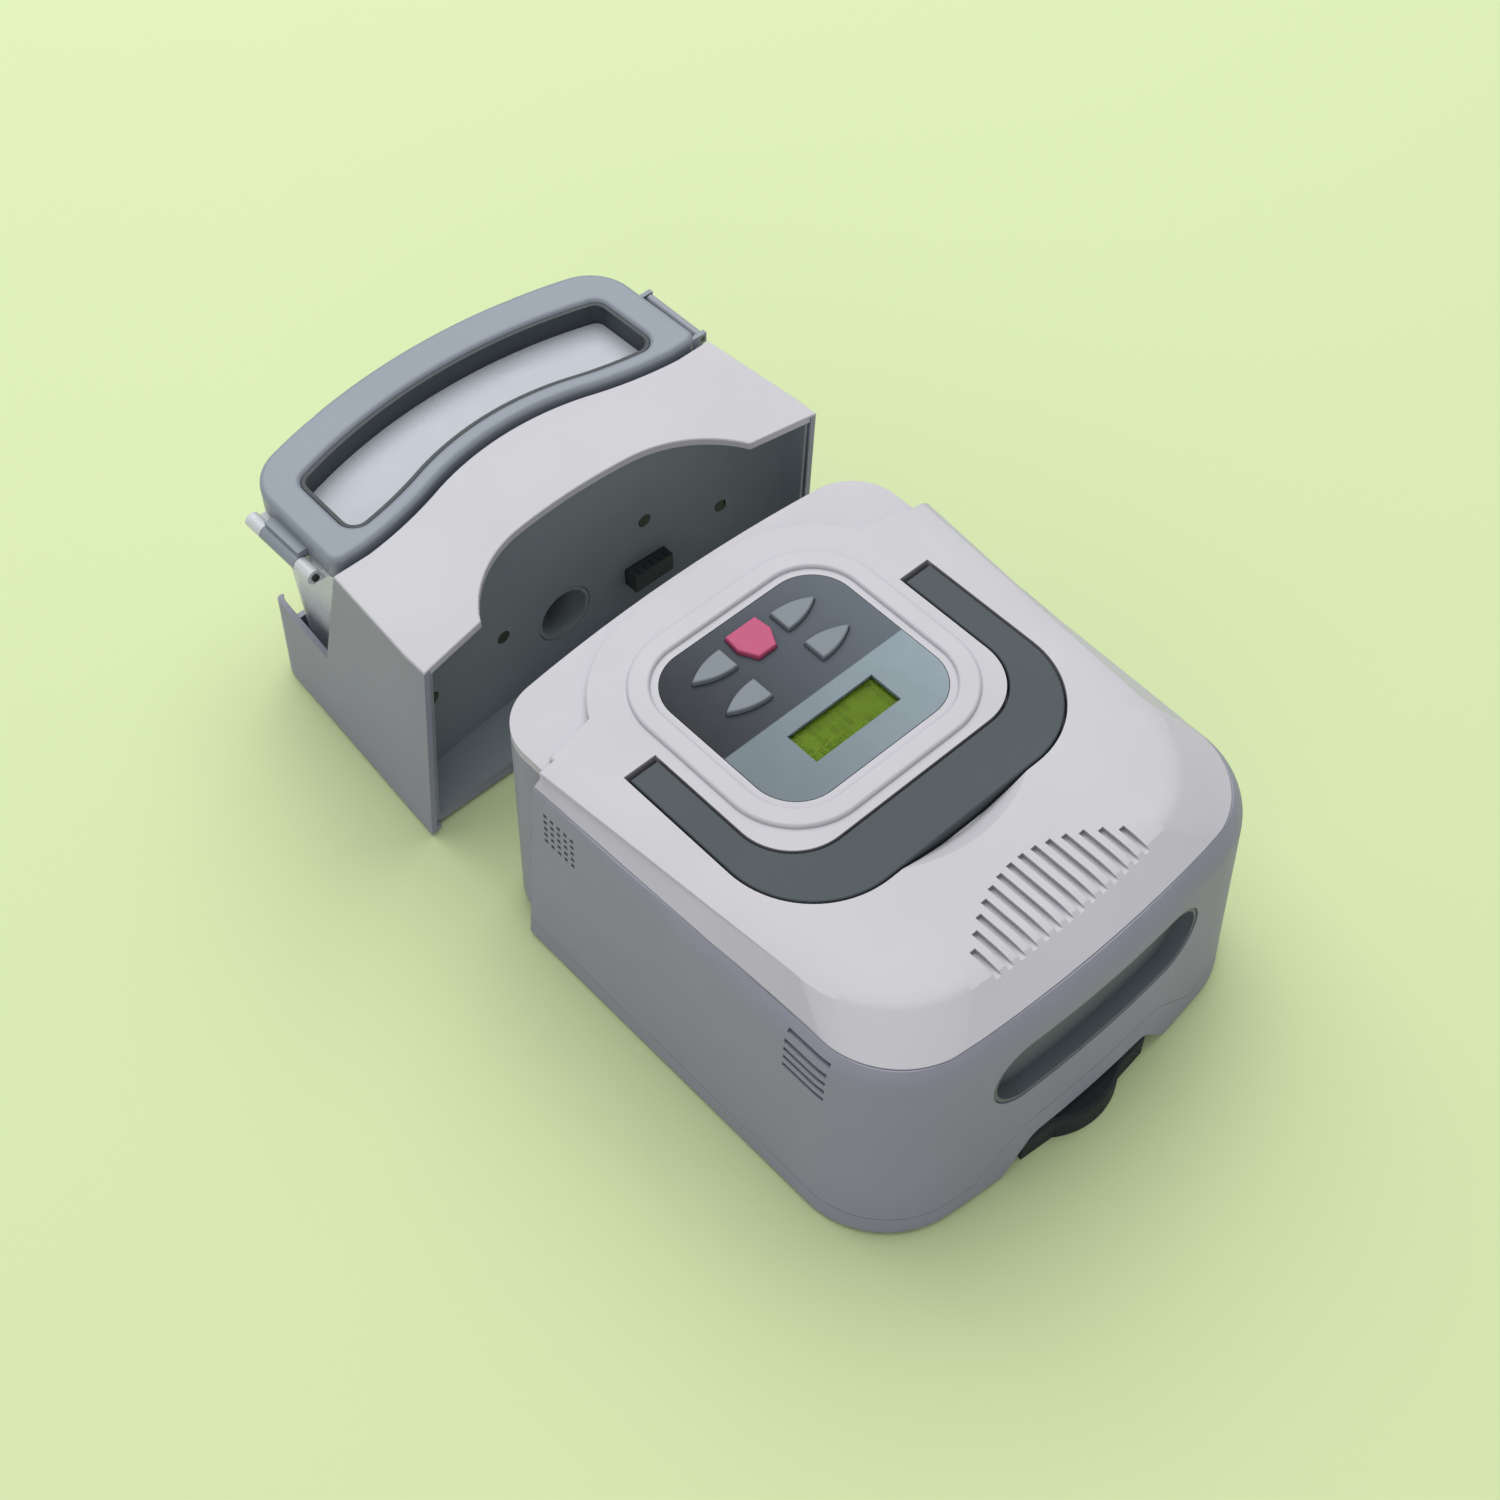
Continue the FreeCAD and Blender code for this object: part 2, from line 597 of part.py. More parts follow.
def step_form(inset, top):
    """Narrower rear form that the humidifier's ears wrap round."""
    half = s.case_half_width - s.ear_band - inset
    front = s.case_front - s.ear_band - inset
    rear = s.case_rear - inset
    corners = s.case_corner_front - s.ear_band - inset, s.case_corner_rear - inset
    lower = case_wire(half + s.case_flare, front, rear, *corners, 0)
    upper = case_wire(half, front, rear, *corners, top)
    return Part.makeLoft([lower, upper], True, True)


def seam_y(height):
    """Where the ears' leaning front edge is at a height."""
    return s.seam_side + s.seam_lean * (1 - height / (s.top))


def side_wedge(shift, low, high):
    """Everything in front of the ears' leaning edge, between two heights."""
    far = 2 * s.case_rear
    profile = [V(-far, -far, low), V(-far, seam_y(low) + shift, low),
               V(-far, seam_y(high) + shift, high), V(-far, -far, high)]
    face = Part.Face(Part.makePolygon(profile + profile[:1]))
    return face.extrude(V(2 * far, 0, 0))


def front_region(shift, low, high):
    """Everything in front of the seam curve, between two heights."""
    far = 2 * s.case_rear
    outline = [(far, -far)] + [(far, s.seam_side - 0.6 + shift)] + seam_edge(shift)
    outline += [(-far, s.seam_side - 0.6 + shift), (-far, -far)]
    return prism(outline, low, high)


def ledge_height():
    """Top of the rear ledge that slides in under the humidifier's top."""
    return s.top - s.top_plate - s.slide_gap


@functools.lru_cache(maxsize=None)
def case_solid(inset):
    """Whole outside of the flow generator below its plateau, inset by a wall."""
    ledge = ledge_height()
    wide = case_form(inset, s.deck_height - inset)
    wide = wide.common(side_wedge(-inset, -1, ledge - inset).fuse(
        front_region(-inset, ledge - inset, s.deck_height + 1)))
    return wide.fuse(step_form(inset, ledge - inset)).removeSplitter()


def slab(low, high):
    """Endless horizontal layer between two heights."""
    far = 3 * s.case_rear
    return Part.makeBox(2 * far, 2 * far, high - low, V(-far, -far, low))


def rear_undercut(gap):
    """Step under the rear that the humidifier's shelf slides into."""
    far = 3 * s.case_rear
    return Part.makeBox(2 * far, far, s.undercut_height + gap + 1,
                        V(-far, s.undercut_start - gap, -1))


def plateau():
    """Raised middle of the cover with a rounded edge, open to the seam at the rear."""
    half = s.case_half_width - s.shoulder_side - s.dome_inset
    front = s.case_front - s.shoulder_front - s.dome_inset
    top = s.top
    outline = case_points(half, front, s.case_rear, s.case_corner_front - s.shoulder_side,
                          s.case_corner_rear)
    form = prism(outline, s.deck_height - 1, top)
    rim = [e for e in form.Edges if e.BoundBox.ZMin > top - 0.01]
    form = form.makeFillet(s.dome_round, rim)
    return form.common(front_region(0, s.deck_height - 1, top + 1))


# ---------------------------------------------------------------- handle outline

def handle_points(grow, end):
    """U-shaped plan of the handle, grown by a gap, with its open ends at end."""
    outer = s.handle_half + grow
    inner = s.handle_inner_half - grow
    front = -s.handle_front - grow
    back = -s.handle_inner_front + grow
    bend = s.handle_corner + grow
    turn = s.handle_inner_corner - grow
    diagonal = 1 - math.sqrt(0.5)
    right = [(outer - bend, front), (outer - bend * diagonal, front + bend * diagonal, "mid"),
             (outer, front + bend), (outer, end), (inner, end), (inner, back + turn),
             (inner - turn * diagonal, back + turn * diagonal, "mid"), (inner - turn, back)]
    return mirrored(right)


def handle_axis():
    """Height and depth of the handle's pins: (y, z)."""
    return s.handle_end - s.hinge_inset, s.top - s.hinge_inset


def turning_radius():
    """Radius swept by the arm's square end, with its clearance."""
    return s.hinge_inset * math.sqrt(2) + s.hinge_sweep_gap


def handle_channel(extra, floor_extra):
    """Space in the cover for the handle and its turning ends."""
    top = s.top + 3
    floor = s.top - s.handle_thickness - s.handle_gap - floor_extra
    axis_y, axis_z = handle_axis()
    radius = turning_radius() + floor_extra
    channel = prism(handle_points(s.handle_gap + extra, axis_y + radius), floor, top)
    arm = s.handle_half - s.handle_inner_half + 2 * (s.handle_gap + extra)
    for side in (-1, 1):
        x = side * (s.handle_half + s.handle_inner_half) / 2 - arm / 2
        channel = channel.fuse(Part.makeCylinder(radius, arm, V(x, axis_y, axis_z), X_AXIS))
    return channel


# ---------------------------------------------------------------- control panel outlines

def panel_points(grow):
    """Rounded-square plan of the control panel, grown by a margin."""
    half = s.panel_half + grow
    front = -s.panel_front - grow
    rear = s.panel_rear + grow
    r = s.panel_corner + grow
    k = r * (1 - math.sqrt(0.5))
    return mirrored([(half - r, front), (half - k, front + k, "mid"), (half, front + r),
                     (half, rear - r), (half - k, rear - k, "mid"), (half - r, rear)])


def leaf_points(side, row, grow):
    """Leaf-shaped key: a straight root near the centre line and a pointed tip outside."""
    root = side * (s.key_root - grow)
    tip = side * (s.key_tip + 1.6 * grow)
    belly = side * (s.key_root + 0.45 * (s.key_tip - s.key_root))
    half = s.key_half + grow
    return [(root, row - half), (belly, row - 0.86 * half, "mid"), (tip, row),
            (belly, row + 0.86 * half, "mid"), (root, row + half)]


def shield_points(grow):
    """Shield-shaped power key, widest at the rear."""
    half = s.power_half + grow
    rear = s.power_row + 0.86 * s.power_half + grow
    front = s.power_row - s.power_half - grow
    return mirrored([(0.52 * half, front), (half, s.power_row - 0.1 * s.power_half),
                     (0.9 * half, rear)])


KEYS = {
    "power_key": lambda grow: shield_points(grow),
    "left_rear_key": lambda grow: leaf_points(-1, s.key_row_rear, grow),
    "right_rear_key": lambda grow: leaf_points(1, s.key_row_rear, grow),
    "left_front_key": lambda grow: leaf_points(-1, s.key_row_front, grow),
    "right_front_key": lambda grow: leaf_points(1, s.key_row_front, grow),
}


def key_centre(label):
    """Where a key's stem stands: (x, y)."""
    if label == "power_key":
        return 0, s.power_row
    side = -1 if label.startswith("left") else 1
    row = s.key_row_rear if "rear" in label else s.key_row_front
    return side * (s.key_root + 0.4 * (s.key_tip - s.key_root)), row


# ---------------------------------------------------------------- flow generator: housings

def grille_slits():
    """Row of slits through the front of the plateau, longer in the middle."""
    slits = []
    count = int(s.grille_count)
    for i in range(count):
        x = -s.grille_half + 2 * s.grille_half * i / (count - 1)
        rear = -s.grille_arc - s.grille_sag * (x / s.grille_half) ** 2
        slits.append(Part.makeBox(s.grille_slit, rear + s.grille_front, 12,
                                  V(x - s.grille_slit / 2, -s.grille_front, s.deck_height - 6)))
    return slits


def finger_scoop(grow):
    """Shallow crescent in front of the handle for lifting it, grown by a wall."""
    edge = s.handle_front + s.handle_gap
    reach = s.scoop_reach
    radius = (s.scoop_half ** 2 + reach ** 2) / (2 * reach)
    centre_y = -edge - reach + radius
    top = s.top
    depth = s.scoop_depth + grow
    bowl = Part.makeCone(radius - 1.6 * depth + grow, radius + 1.6 + grow, depth + 1,
                         V(0, centre_y, top - depth))
    half = s.scoop_half + 2 * grow
    return bowl.common(Part.makeBox(2 * half, 2 * reach + 0.5, 2 * depth,
                                    V(-half, -edge - 2 * reach, top - depth)))


def board_post_rows():
    """The two rows of control-board posts."""
    quarter = (s.panel_rear + s.panel_front) / 4
    return -s.panel_front + quarter, s.panel_rear - quarter


def board_posts():
    """Posts below the cover that carry the control board."""
    x = s.panel_half - 1.2
    bottom = s.board_height + s.board_sheet
    height = s.deck_height - s.case_wall - bottom + 0.5
    return [Part.makeCylinder(s.post_radius, height, V(side * x, y, bottom))
            for side in (-1, 1) for y in board_post_rows()]


def handle_pin_shapes(gap):
    """The two handle pins, grown by a running gap."""
    axis_y, axis_z = handle_axis()
    start = s.handle_inner_half - s.handle_gap - s.handle_pin_reach
    length = s.handle_half - s.handle_inner_half + 2 * (s.handle_gap + s.handle_pin_reach)
    return [Part.makeCylinder(s.handle_pin + gap, length,
                              V(start if side > 0 else -start - length, axis_y, axis_z), X_AXIS)
            for side in (-1, 1)]


def cover_lip():
    """Locating lip that reaches down inside the case."""
    inner = s.case_wall + s.mesh_gap + s.lip_wall
    low = s.split_height - s.lip_depth
    lower = case_solid(s.case_wall + s.mesh_gap).cut(case_solid(inner))
    upper = case_solid(s.case_wall - 0.2).cut(case_solid(inner))
    lip = lower.common(slab(low, s.split_height + s.mesh_gap))
    return lip.fuse(upper.common(slab(s.split_height + s.mesh_gap, s.split_height + 1.4)))


def panel_ring():
    """Raised ridge round the control panel."""
    top = s.top
    ring = prism(panel_points(s.ring_outer), top - 1, top + s.ring_rise)
    ring = ring.cut(prism(panel_points(s.ring_inner), top - 2, top + 2 * s.ring_rise))
    crest = [e for e in ring.Edges if e.BoundBox.ZMin > top + s.ring_rise - 0.01]
    return ring.makeFillet(0.85 * s.ring_rise, crest)


def top_cover():
    """White cover: ledge, plateau, ring, handle channel, panel seat and grille."""
    top = s.top
    skin = case_solid(0).common(slab(s.split_height, top)).fuse(plateau())
    boss = handle_channel(s.case_wall, s.case_wall).fuse(finger_scoop(s.case_wall))
    boss = boss.common(case_solid(s.case_wall - 0.5))
    cover = skin.cut(case_solid(s.case_wall)).fuse([boss, panel_ring(), cover_lip()])
    cover = cover.fuse(board_posts())
    cover = cover.cut(handle_channel(0, 0)).cut(finger_scoop(0))
    cover = cover.cut(prism(panel_points(s.mesh_gap), top - s.panel_sheet, top + 3))
    cover = cover.cut(prism(panel_points(-s.panel_lip), s.deck_height - s.case_wall - 0.5, top))
    cover = cover.cut(grille_slits() + handle_pin_shapes(s.run_gap))
    keep_shape(cover, "top_cover", MAIN_Y)


def arch_form(grow):
    """Front arch: a low opening with sloping ends, grown by a wall."""
    depth = s.case_front + 2 * s.case_lean
    foot, crown = s.arch_half + grow, s.arch_top_half + 0.7 * grow
    height = s.arch_height + grow
    points = [V(-foot, -depth, -1), V(-crown, -depth, height), V(crown, -depth, height),
              V(foot, -depth, -1)]
    face = Part.Face(Part.makePolygon(points + points[:1]))
    form = face.extrude(V(0, depth - s.arch_back + grow, 0))
    bends = [e for e in form.Edges if e.BoundBox.ZMin > height - 0.01 and e.BoundBox.XLength < 0.01]
    return form.makeFillet(s.arch_bend + grow, bends)


def rim_region(gap):
    """Where the base shell's rim is: low all round, rising over the front arch."""
    depth = s.case_front + 2 * s.case_lean
    foot = s.rim_height - gap
    rise = s.arch_height + s.arch_border - gap
    wide, narrow = s.arch_half + s.arch_border, s.arch_top_half + 0.5 * s.arch_border
    points = [V(-wide, -depth, foot - 6), V(-wide, -depth, foot), V(-narrow, -depth, rise),
              V(narrow, -depth, rise), V(wide, -depth, foot), V(wide, -depth, foot - 6)]
    face = Part.Face(Part.makePolygon(points + points[:1]))
    hump = face.extrude(V(0, depth - s.arch_back - s.case_wall, 0))
    bends = [e for e in hump.Edges if e.BoundBox.ZMin > rise - 0.01 and e.BoundBox.XLength < 0.01]
    return slab(-5, foot).fuse(hump.makeFillet(s.arch_bend + s.arch_border, bends))


def recess_form(shrink, low=150, high=60):
    """Stadium-shaped bar along Y at the front recess, from y = -low to y = -high."""
    radius = s.recess_half_height - shrink
    straight = s.recess_half - s.recess_half_height
    z = s.recess_height
    wire = Part.Wire([
        Part.makeLine(V(-straight, -low, z - radius), V(straight, -low, z - radius)),
        Part.Arc(V(straight, -low, z - radius), V(straight + radius, -low, z),
                 V(straight, -low, z + radius)).toShape(),
        Part.makeLine(V(straight, -low, z + radius), V(-straight, -low, z + radius)),
        Part.Arc(V(-straight, -low, z + radius), V(-straight - radius, -low, z),
                 V(-straight, -low, z - radius)).toShape()])
    return Part.Face(wire).extrude(V(0, low - high, 0))


def front_insert():
    """Dark dish in the front recess: its rim follows the face, a flange holds it inside."""
    flange = s.case_wall + s.mesh_gap
    body = case_solid(s.insert_sink).cut(case_solid(s.recess_depth + s.insert_wall))
    body = body.common(recess_form(s.mesh_gap))
    ring = case_solid(flange).cut(case_solid(flange + s.insert_wall))
    ring = ring.common(recess_form(-s.insert_flange))
    dish = body.fuse(ring)
    mouth = recess_form(s.insert_rim, 150, 80).cut(case_solid(s.recess_depth))
    keep_shape(dish.cut(mouth), "front_insert", MAIN_Y)


def screw_places():
    """The four case screws: (x, y)."""
    x = s.case_half_width - s.case_wall - 1
    return [(-x, -45), (x, -45), (-x, 60), (x, 60)]


def louvre_slots():
    """Stacks of horizontal slots near the front corners of both sides."""
    reach = s.case_half_width + s.case_flare
    return [Part.makeBox(22, s.louvre_length, s.louvre_slot,
                         V(side * reach - 11, -s.louvre_middle - s.louvre_length / 2,
                           s.louvre_base + i * s.louvre_pitch))
            for side in (-1, 1) for i in range(int(s.louvre_count))]


def vent_holes():
    """Block of small square holes near the rear of the left side."""
    reach = s.case_half_width + s.case_flare + 8
    middle = (s.vent_count - 1) / 2
    half = s.vent_hole / 2
    return [Part.makeBox(20, s.vent_hole, s.vent_hole,
                         V(-reach, s.vent_middle + (column - middle) * s.vent_pitch - half,
                           s.vent_base + level * s.vent_pitch - half))
            for column in range(int(s.vent_count)) for level in range(int(s.vent_count))]


def plug_form(grow, y_from, y_to):
    """Rectangular bar along Y at the docking plug."""
    half, half_height = s.plug_half + grow, s.plug_half_height + grow
    return Part.makeBox(2 * half, y_to - y_from, 2 * half_height,
                        V(s.plug_x - half, y_from, s.plug_height - half_height))


def port_form(radius, y_from, y_to):
    """Round bar along Y at the air port."""
    return Part.makeCylinder(radius, y_to - y_from, V(s.port_x, y_from, s.port_height), Y_AXIS)


def jack_radius():
    """Outer radius of the power socket."""
    return s.jack_bore + s.jack_wall


def case_side(y, height):
    """Outer side face of the full-width case at a height."""
    return s.case_half_width + s.case_flare * (1 - height / s.deck_height)


def mid_case():
    """Grey case: side walls, front recess opening, louvres, ports and screw posts."""
    outer = case_solid(0).cut(rim_region(0)).common(slab(0, s.split_height - s.seam_gap))
    posts = [Part.makeCylinder(s.post_radius + 2, s.case_post, V(x, y, s.rim_height))
             for x, y in screw_places()]
    posts = [post.common(case_solid(s.case_wall / 2)) for post in posts]
    inner_wall = s.case_rear - s.case_wall
    sleeve = plug_form(s.slide_gap + s.case_wall, inner_wall - s.plug_reach, s.case_rear)
    sleeve = sleeve.common(case_solid(s.case_wall / 2))
    case = outer.cut(case_solid(s.case_wall)).fuse(posts + [sleeve])
    drills = [Part.makeCylinder(s.screw_shank + s.run_gap, s.case_post, V(x, y, s.rim_height - 1))
              for x, y in screw_places()]
    jack = Part.makeCylinder(jack_radius() + s.mesh_gap, 30,
                             V(s.case_half_width - 15, s.jack_y, s.jack_height), X_AXIS)
    case = case.cut(louvre_slots() + vent_holes() + drills)
    case = case.cut([recess_form(0), jack, port_form(s.port_radius + s.mesh_gap, 80, 120),
                     plug_form(s.slide_gap, 80, 120)])
    keep_shape(case, "mid_case", MAIN_Y)


def blower_feet():
    """The blower's four rubber mounts: (x, y)."""
    radius = s.blower_radius - s.mount_radius - 2
    places = []
    for turn in (45, 135, 225, 315):
        angle = math.radians(turn)
        places.append((s.blower_x + radius * math.cos(angle),
                       s.blower_y + radius * math.sin(angle)))
    return places


def main_board_x():
    """Middle of the main circuit board, which stands off the left wall."""
    inner_face = s.case_half_width - s.case_wall
    return s.main_board_length / 2 + s.main_board_margin - inner_face


def main_board_corners():
    """The four posts under the main circuit board: (x, y)."""
    x, y = s.main_board_length / 2 - 5, s.main_board_width / 2 - 5
    return [(main_board_x() + i * x, s.main_board_y + j * y) for i in (-1, 1) for j in (-1, 1)]


def base_shell():
    """Grey base: low rim rising over the front arch, floor, undercut and posts."""
    floor = s.case_bottom + s.case_wall
    whole = case_solid(0).common(rim_region(s.seam_gap)).common(slab(s.case_bottom, 60))
    hollow = case_solid(s.case_wall).common(slab(floor, 70)).cut(rear_undercut(s.case_wall))
    niche = arch_form(s.case_wall).common(case_solid(0)).common(slab(s.case_bottom, 60))
    bosses = [Part.makeCylinder(s.post_radius + 1.5, s.rim_height - s.seam_gap - floor + 1,
                                V(x, y, floor - 1)) for x, y in screw_places()]
    bosses = [boss.common(case_solid(s.case_wall / 2)) for boss in bosses]
    low = floor - 1
    mounts = [Part.makeCylinder(s.post_radius, s.scroll_base - s.mount_height - low, V(x, y, low))
              for x, y in blower_feet()]
    posts = [Part.makeCylinder(s.post_radius, s.main_board_height - low, V(x, y, low))
             for x, y in main_board_corners()]
    shell = whole.cut(hollow).fuse([niche] + bosses + mounts + posts)
    shell = shell.cut(rear_undercut(0)).cut(arch_form(0))
    holes = []
    for x, y in screw_places():
        holes.append(Part.makeCylinder(s.screw_head + s.mesh_gap, s.screw_sink + 1,
                                       V(x, y, s.case_bottom - 1)))
        holes.append(Part.makeCylinder(s.screw_shank + s.run_gap, s.rim_height, V(x, y, 1)))
    slots = [Part.makeBox(s.floor_slot, s.floor_slot_length, s.rim_height,
                          V((i - 2.5) * s.floor_slot_pitch - s.floor_slot / 2,
                            s.floor_slot_start - s.arch_back, -1)) for i in range(6)]
    keep_shape(shell.cut(holes + slots), "base_shell", MAIN_Y)


def screw(x, y, bottom, length):
    """Pan-head screw pointing up, its head's underside at bottom plus the sink."""
    head = cylinder("Sizes.screw_head", "Sizes.screw_sink", str(x), str(y), bottom)
    shank = cylinder("Sizes.screw_shank", length, str(x), str(y), bottom)
    return fuse(head, shank)


def case_screws():
    """Four pan-head screws up into the case's posts."""
    screws = [screw(x, y, "Sizes.case_bottom", "Sizes.rim_height + Sizes.case_post / 2")
              for x, y in screw_places()]
    keep(compound(*screws), "case_screws", MAIN_Y)


def rubber_foot(x, y):
    """Round foot with a chamfered edge."""
    return Part.makeCone(s.foot_radius - 0.6, s.foot_radius, 0.6, V(x, y, 0)).fuse(
        Part.makeCylinder(s.foot_radius, s.case_bottom - 0.6, V(x, y, 0.6))).removeSplitter()


def rubber_feet():
    """Four round feet under the base shell."""
    feet = [rubber_foot(side * s.foot_x, y) for side in (-1, 1) for y in (-s.foot_front, s.foot_rear)]
    keep_shape(Part.makeCompound(feet), "rubber_feet", MAIN_Y, False)


def front_foot():
    """Broad black foot in the front arch, with a nose that stands out in the middle."""
    back = -s.arch_back - s.mesh_gap
    side = -s.case_front - s.case_lean + s.case_wall
    half = s.arch_top_half + 3
    nose = 0.6 * s.arch_top_half
    outline = [(half, back), (half, side), (nose, side - 1.5), (0, -s.front_reach, "mid"),
               (-nose, side - 1.5), (-half, side), (-half, back)]
    top = s.front_foot_height
    block = prism(outline, 0, top)
    upper = [e for e in block.Edges if e.BoundBox.ZMin > top - 0.01 and e.BoundBox.YMax < back - 0.5]
    keep_shape(block.makeChamfer(1.2, upper), "front_foot", MAIN_Y)


# ---------------------------------------------------------------- flow generator: panel

def padded(label, outline, bottom, height, place, holes=()):
    """PartDesign body padded from a plan outline; bottom and height are expressions."""
    body = doc.addObject("PartDesign::Body", label)
    sketch = body.newObject("Sketcher::SketchObject", "Outline")
    sketch.AttachmentSupport = [(origin_plane(body, "XY_Plane"), "")]
    sketch.MapMode = "FlatFace"
    for points in [outline, *holes]:
        draw(sketch, points)
    pad = body.newObject("PartDesign::Pad", "Pad")
    pad.Profile = sketch
    bind(pad, Length=height)
    bind(body, z=bottom)
    return keep(body, label, place)


def draw(sketch, points):
    """Adds a closed outline of (x, y) points and arc middles to a sketch."""
    wire = edge_wire(points, 0)
    for edge in wire.Edges:
        ends = edge.valueAt(edge.FirstParameter), edge.valueAt(edge.LastParameter)
        if edge.Curve.TypeId == "Part::GeomLine":
            sketch.addGeometry(Part.LineSegment(*ends), False)
        else:
            middle = edge.valueAt((edge.FirstParameter + edge.LastParameter) / 2)
            sketch.addGeometry(Part.Arc(ends[0], middle, ends[1]), False)


def rectangle(x_from, x_to, y_from, y_to):
    """Rectangular outline."""
    return [(x_from, y_from), (x_to, y_from), (x_to, y_to), (x_from, y_to)]


def panel_plate():
    """Dark plate of the control panel with its window and key openings."""
    holes = [outline(s.key_gap) for outline in KEYS.values()]
    holes.append(rectangle(-s.lcd_half, s.lcd_half, s.lcd_front, s.lcd_rear))
    padded("panel_plate", panel_points(0), formula("panel_under"), "Sizes.panel_sheet", MAIN_Y,
           holes)


def lcd_window():
    """Clear window glued under the panel plate."""
    edge = s.lcd_border
    outline = rectangle(-s.lcd_half - edge, s.lcd_half + edge, s.lcd_front - edge, s.lcd_rear + edge)
    padded("lcd_window", outline, formula("glass_under"), "Sizes.lcd_glass", MAIN_Y)


def lcd_module():
    """Display block that stands on the control board below the window."""
    edge = s.lcd_border + 1.5
    outline = rectangle(-s.lcd_half - edge, s.lcd_half + edge, s.lcd_front - edge, s.lcd_rear + edge)
    height = f"{formula('glass_under')} - Sizes.seat_gap - {formula('board_top')}"
    padded("lcd_module", outline, formula("board_top"), height, MAIN_Y)


def control_board():
    """Circuit board behind the control panel."""
    outline = rectangle(-s.panel_half - 1.5, s.panel_half + 1.5, -s.panel_front + 3,
                        s.panel_rear - 2)
    padded("control_board", outline, formula("board_height"), "Sizes.board_sheet", MAIN_Y)


def key_switches():
    """Square tact switches under the keys."""
    switches = []
    bottom = s.board_height + s.board_sheet
    for label in KEYS:
        x, y = key_centre(label)
        can = Part.makeBox(6, 6, 0.6 * (s.switch_top - bottom), V(x - 3, y - 3, bottom))
        button = Part.makeCylinder(s.key_stem, s.switch_top - bottom, V(x, y, bottom))
        switches.append(can.fuse(button).removeSplitter())
    keep_shape(Part.makeCompound(switches), "key_switches", MAIN_Y, False)


def key(label, outline):
    """Key cap with a rounded top, a retaining flange under the plate and a stem."""
    top = s.top + s.key_rise
    under = s.top - s.panel_sheet - 0.3
    cap = prism(outline(0), under - 0.5, top)
    crown = [e for e in cap.Edges if e.BoundBox.ZMin > top - 0.01]
    cap = cap.makeFillet(s.key_round, crown)
    flange = prism(outline(s.key_flange), under - 1, under)
    x, y = key_centre(label)
    foot = s.switch_top + s.key_travel + 0.1
    stem = Part.makeCylinder(s.key_stem, under - foot, V(x, y, foot))
    keep_shape(cap.fuse([flange, stem]), label, MAIN_Y)


# ---------------------------------------------------------------- flow generator: handle

def handle():
    """U-shaped carrying handle, bored for its pins."""
    top = s.top
    form = prism(handle_points(0, s.handle_end), top - s.handle_thickness, top)
    edges = [e for e in form.Edges if e.BoundBox.ZMin > top - 0.01
             or e.BoundBox.ZMax < top - s.handle_thickness + 0.01]
    form = form.makeFillet(s.handle_round, edges)
    keep_shape(form.cut(handle_pin_shapes(s.run_gap)), "handle", MAIN_Y)


def handle_pins():
    """Steel pins that carry the handle in the cover's bosses."""
    keep_shape(Part.makeCompound(handle_pin_shapes(0)), "handle_pins", MAIN_Y, False)


# ---------------------------------------------------------------- flow generator: inside

def blower_housing():
    """Scroll housing with its inlet eye, motor bell and outlet duct."""
    x, y = s.blower_x, s.blower_y
    wall = s.blower_wall
    base, top = s.scroll_base, s.scroll_base + s.scroll_height
    duct = s.port_radius + wall
    outer = Part.makeCylinder(s.blower_radius, s.scroll_height, V(x, y, base))
    outer = outer.fuse([Part.makeCylinder(s.motor_radius + wall + s.mesh_gap, base - s.blower_base,
                                          V(x, y, s.blower_base)),
                        port_form(duct, y, s.duct_end)])
    room = Part.makeCylinder(s.blower_radius - wall, s.scroll_height - 2 * wall, V(x, y, base + wall))
    bell = Part.makeCylinder(s.motor_radius + s.mesh_gap, base - s.blower_base + 2 * wall,
                             V(x, y, s.blower_base - 1))
    eye = Part.makeCone(s.blower_eye, s.blower_eye + wall, wall + 2, V(x, y, top - wall - 1))
    bore = port_form(s.port_bore, y, s.duct_end + 1)
    socket = port_form(spigot_radius() + s.run_gap, s.duct_end - s.port_reach / 2, s.duct_end + 1)
    keep_shape(outer.cut([room, bell, eye, bore, socket]), "blower_housing", MAIN_Y)


def blower_motor():
    """Motor can in the housing's bell, with its shaft."""
    low = s.blower_base + s.mesh_gap
    top = s.scroll_base + s.blower_wall
    profile = [(0, low), (s.motor_radius - 1, low), (s.motor_radius, low + 1),
               (s.motor_radius, top), (6, top), (6, top + 1), (s.motor_shaft, top + 1),
               (s.motor_shaft, top + 2 + s.impeller_height), (0, top + 2 + s.impeller_height)]
    body = revolved("blower_motor", profile)
    bind(body, x="Sizes.blower_x")
    body_place = MAIN_Y + " + Sizes.blower_y"
    keep(body, "blower_motor", body_place)


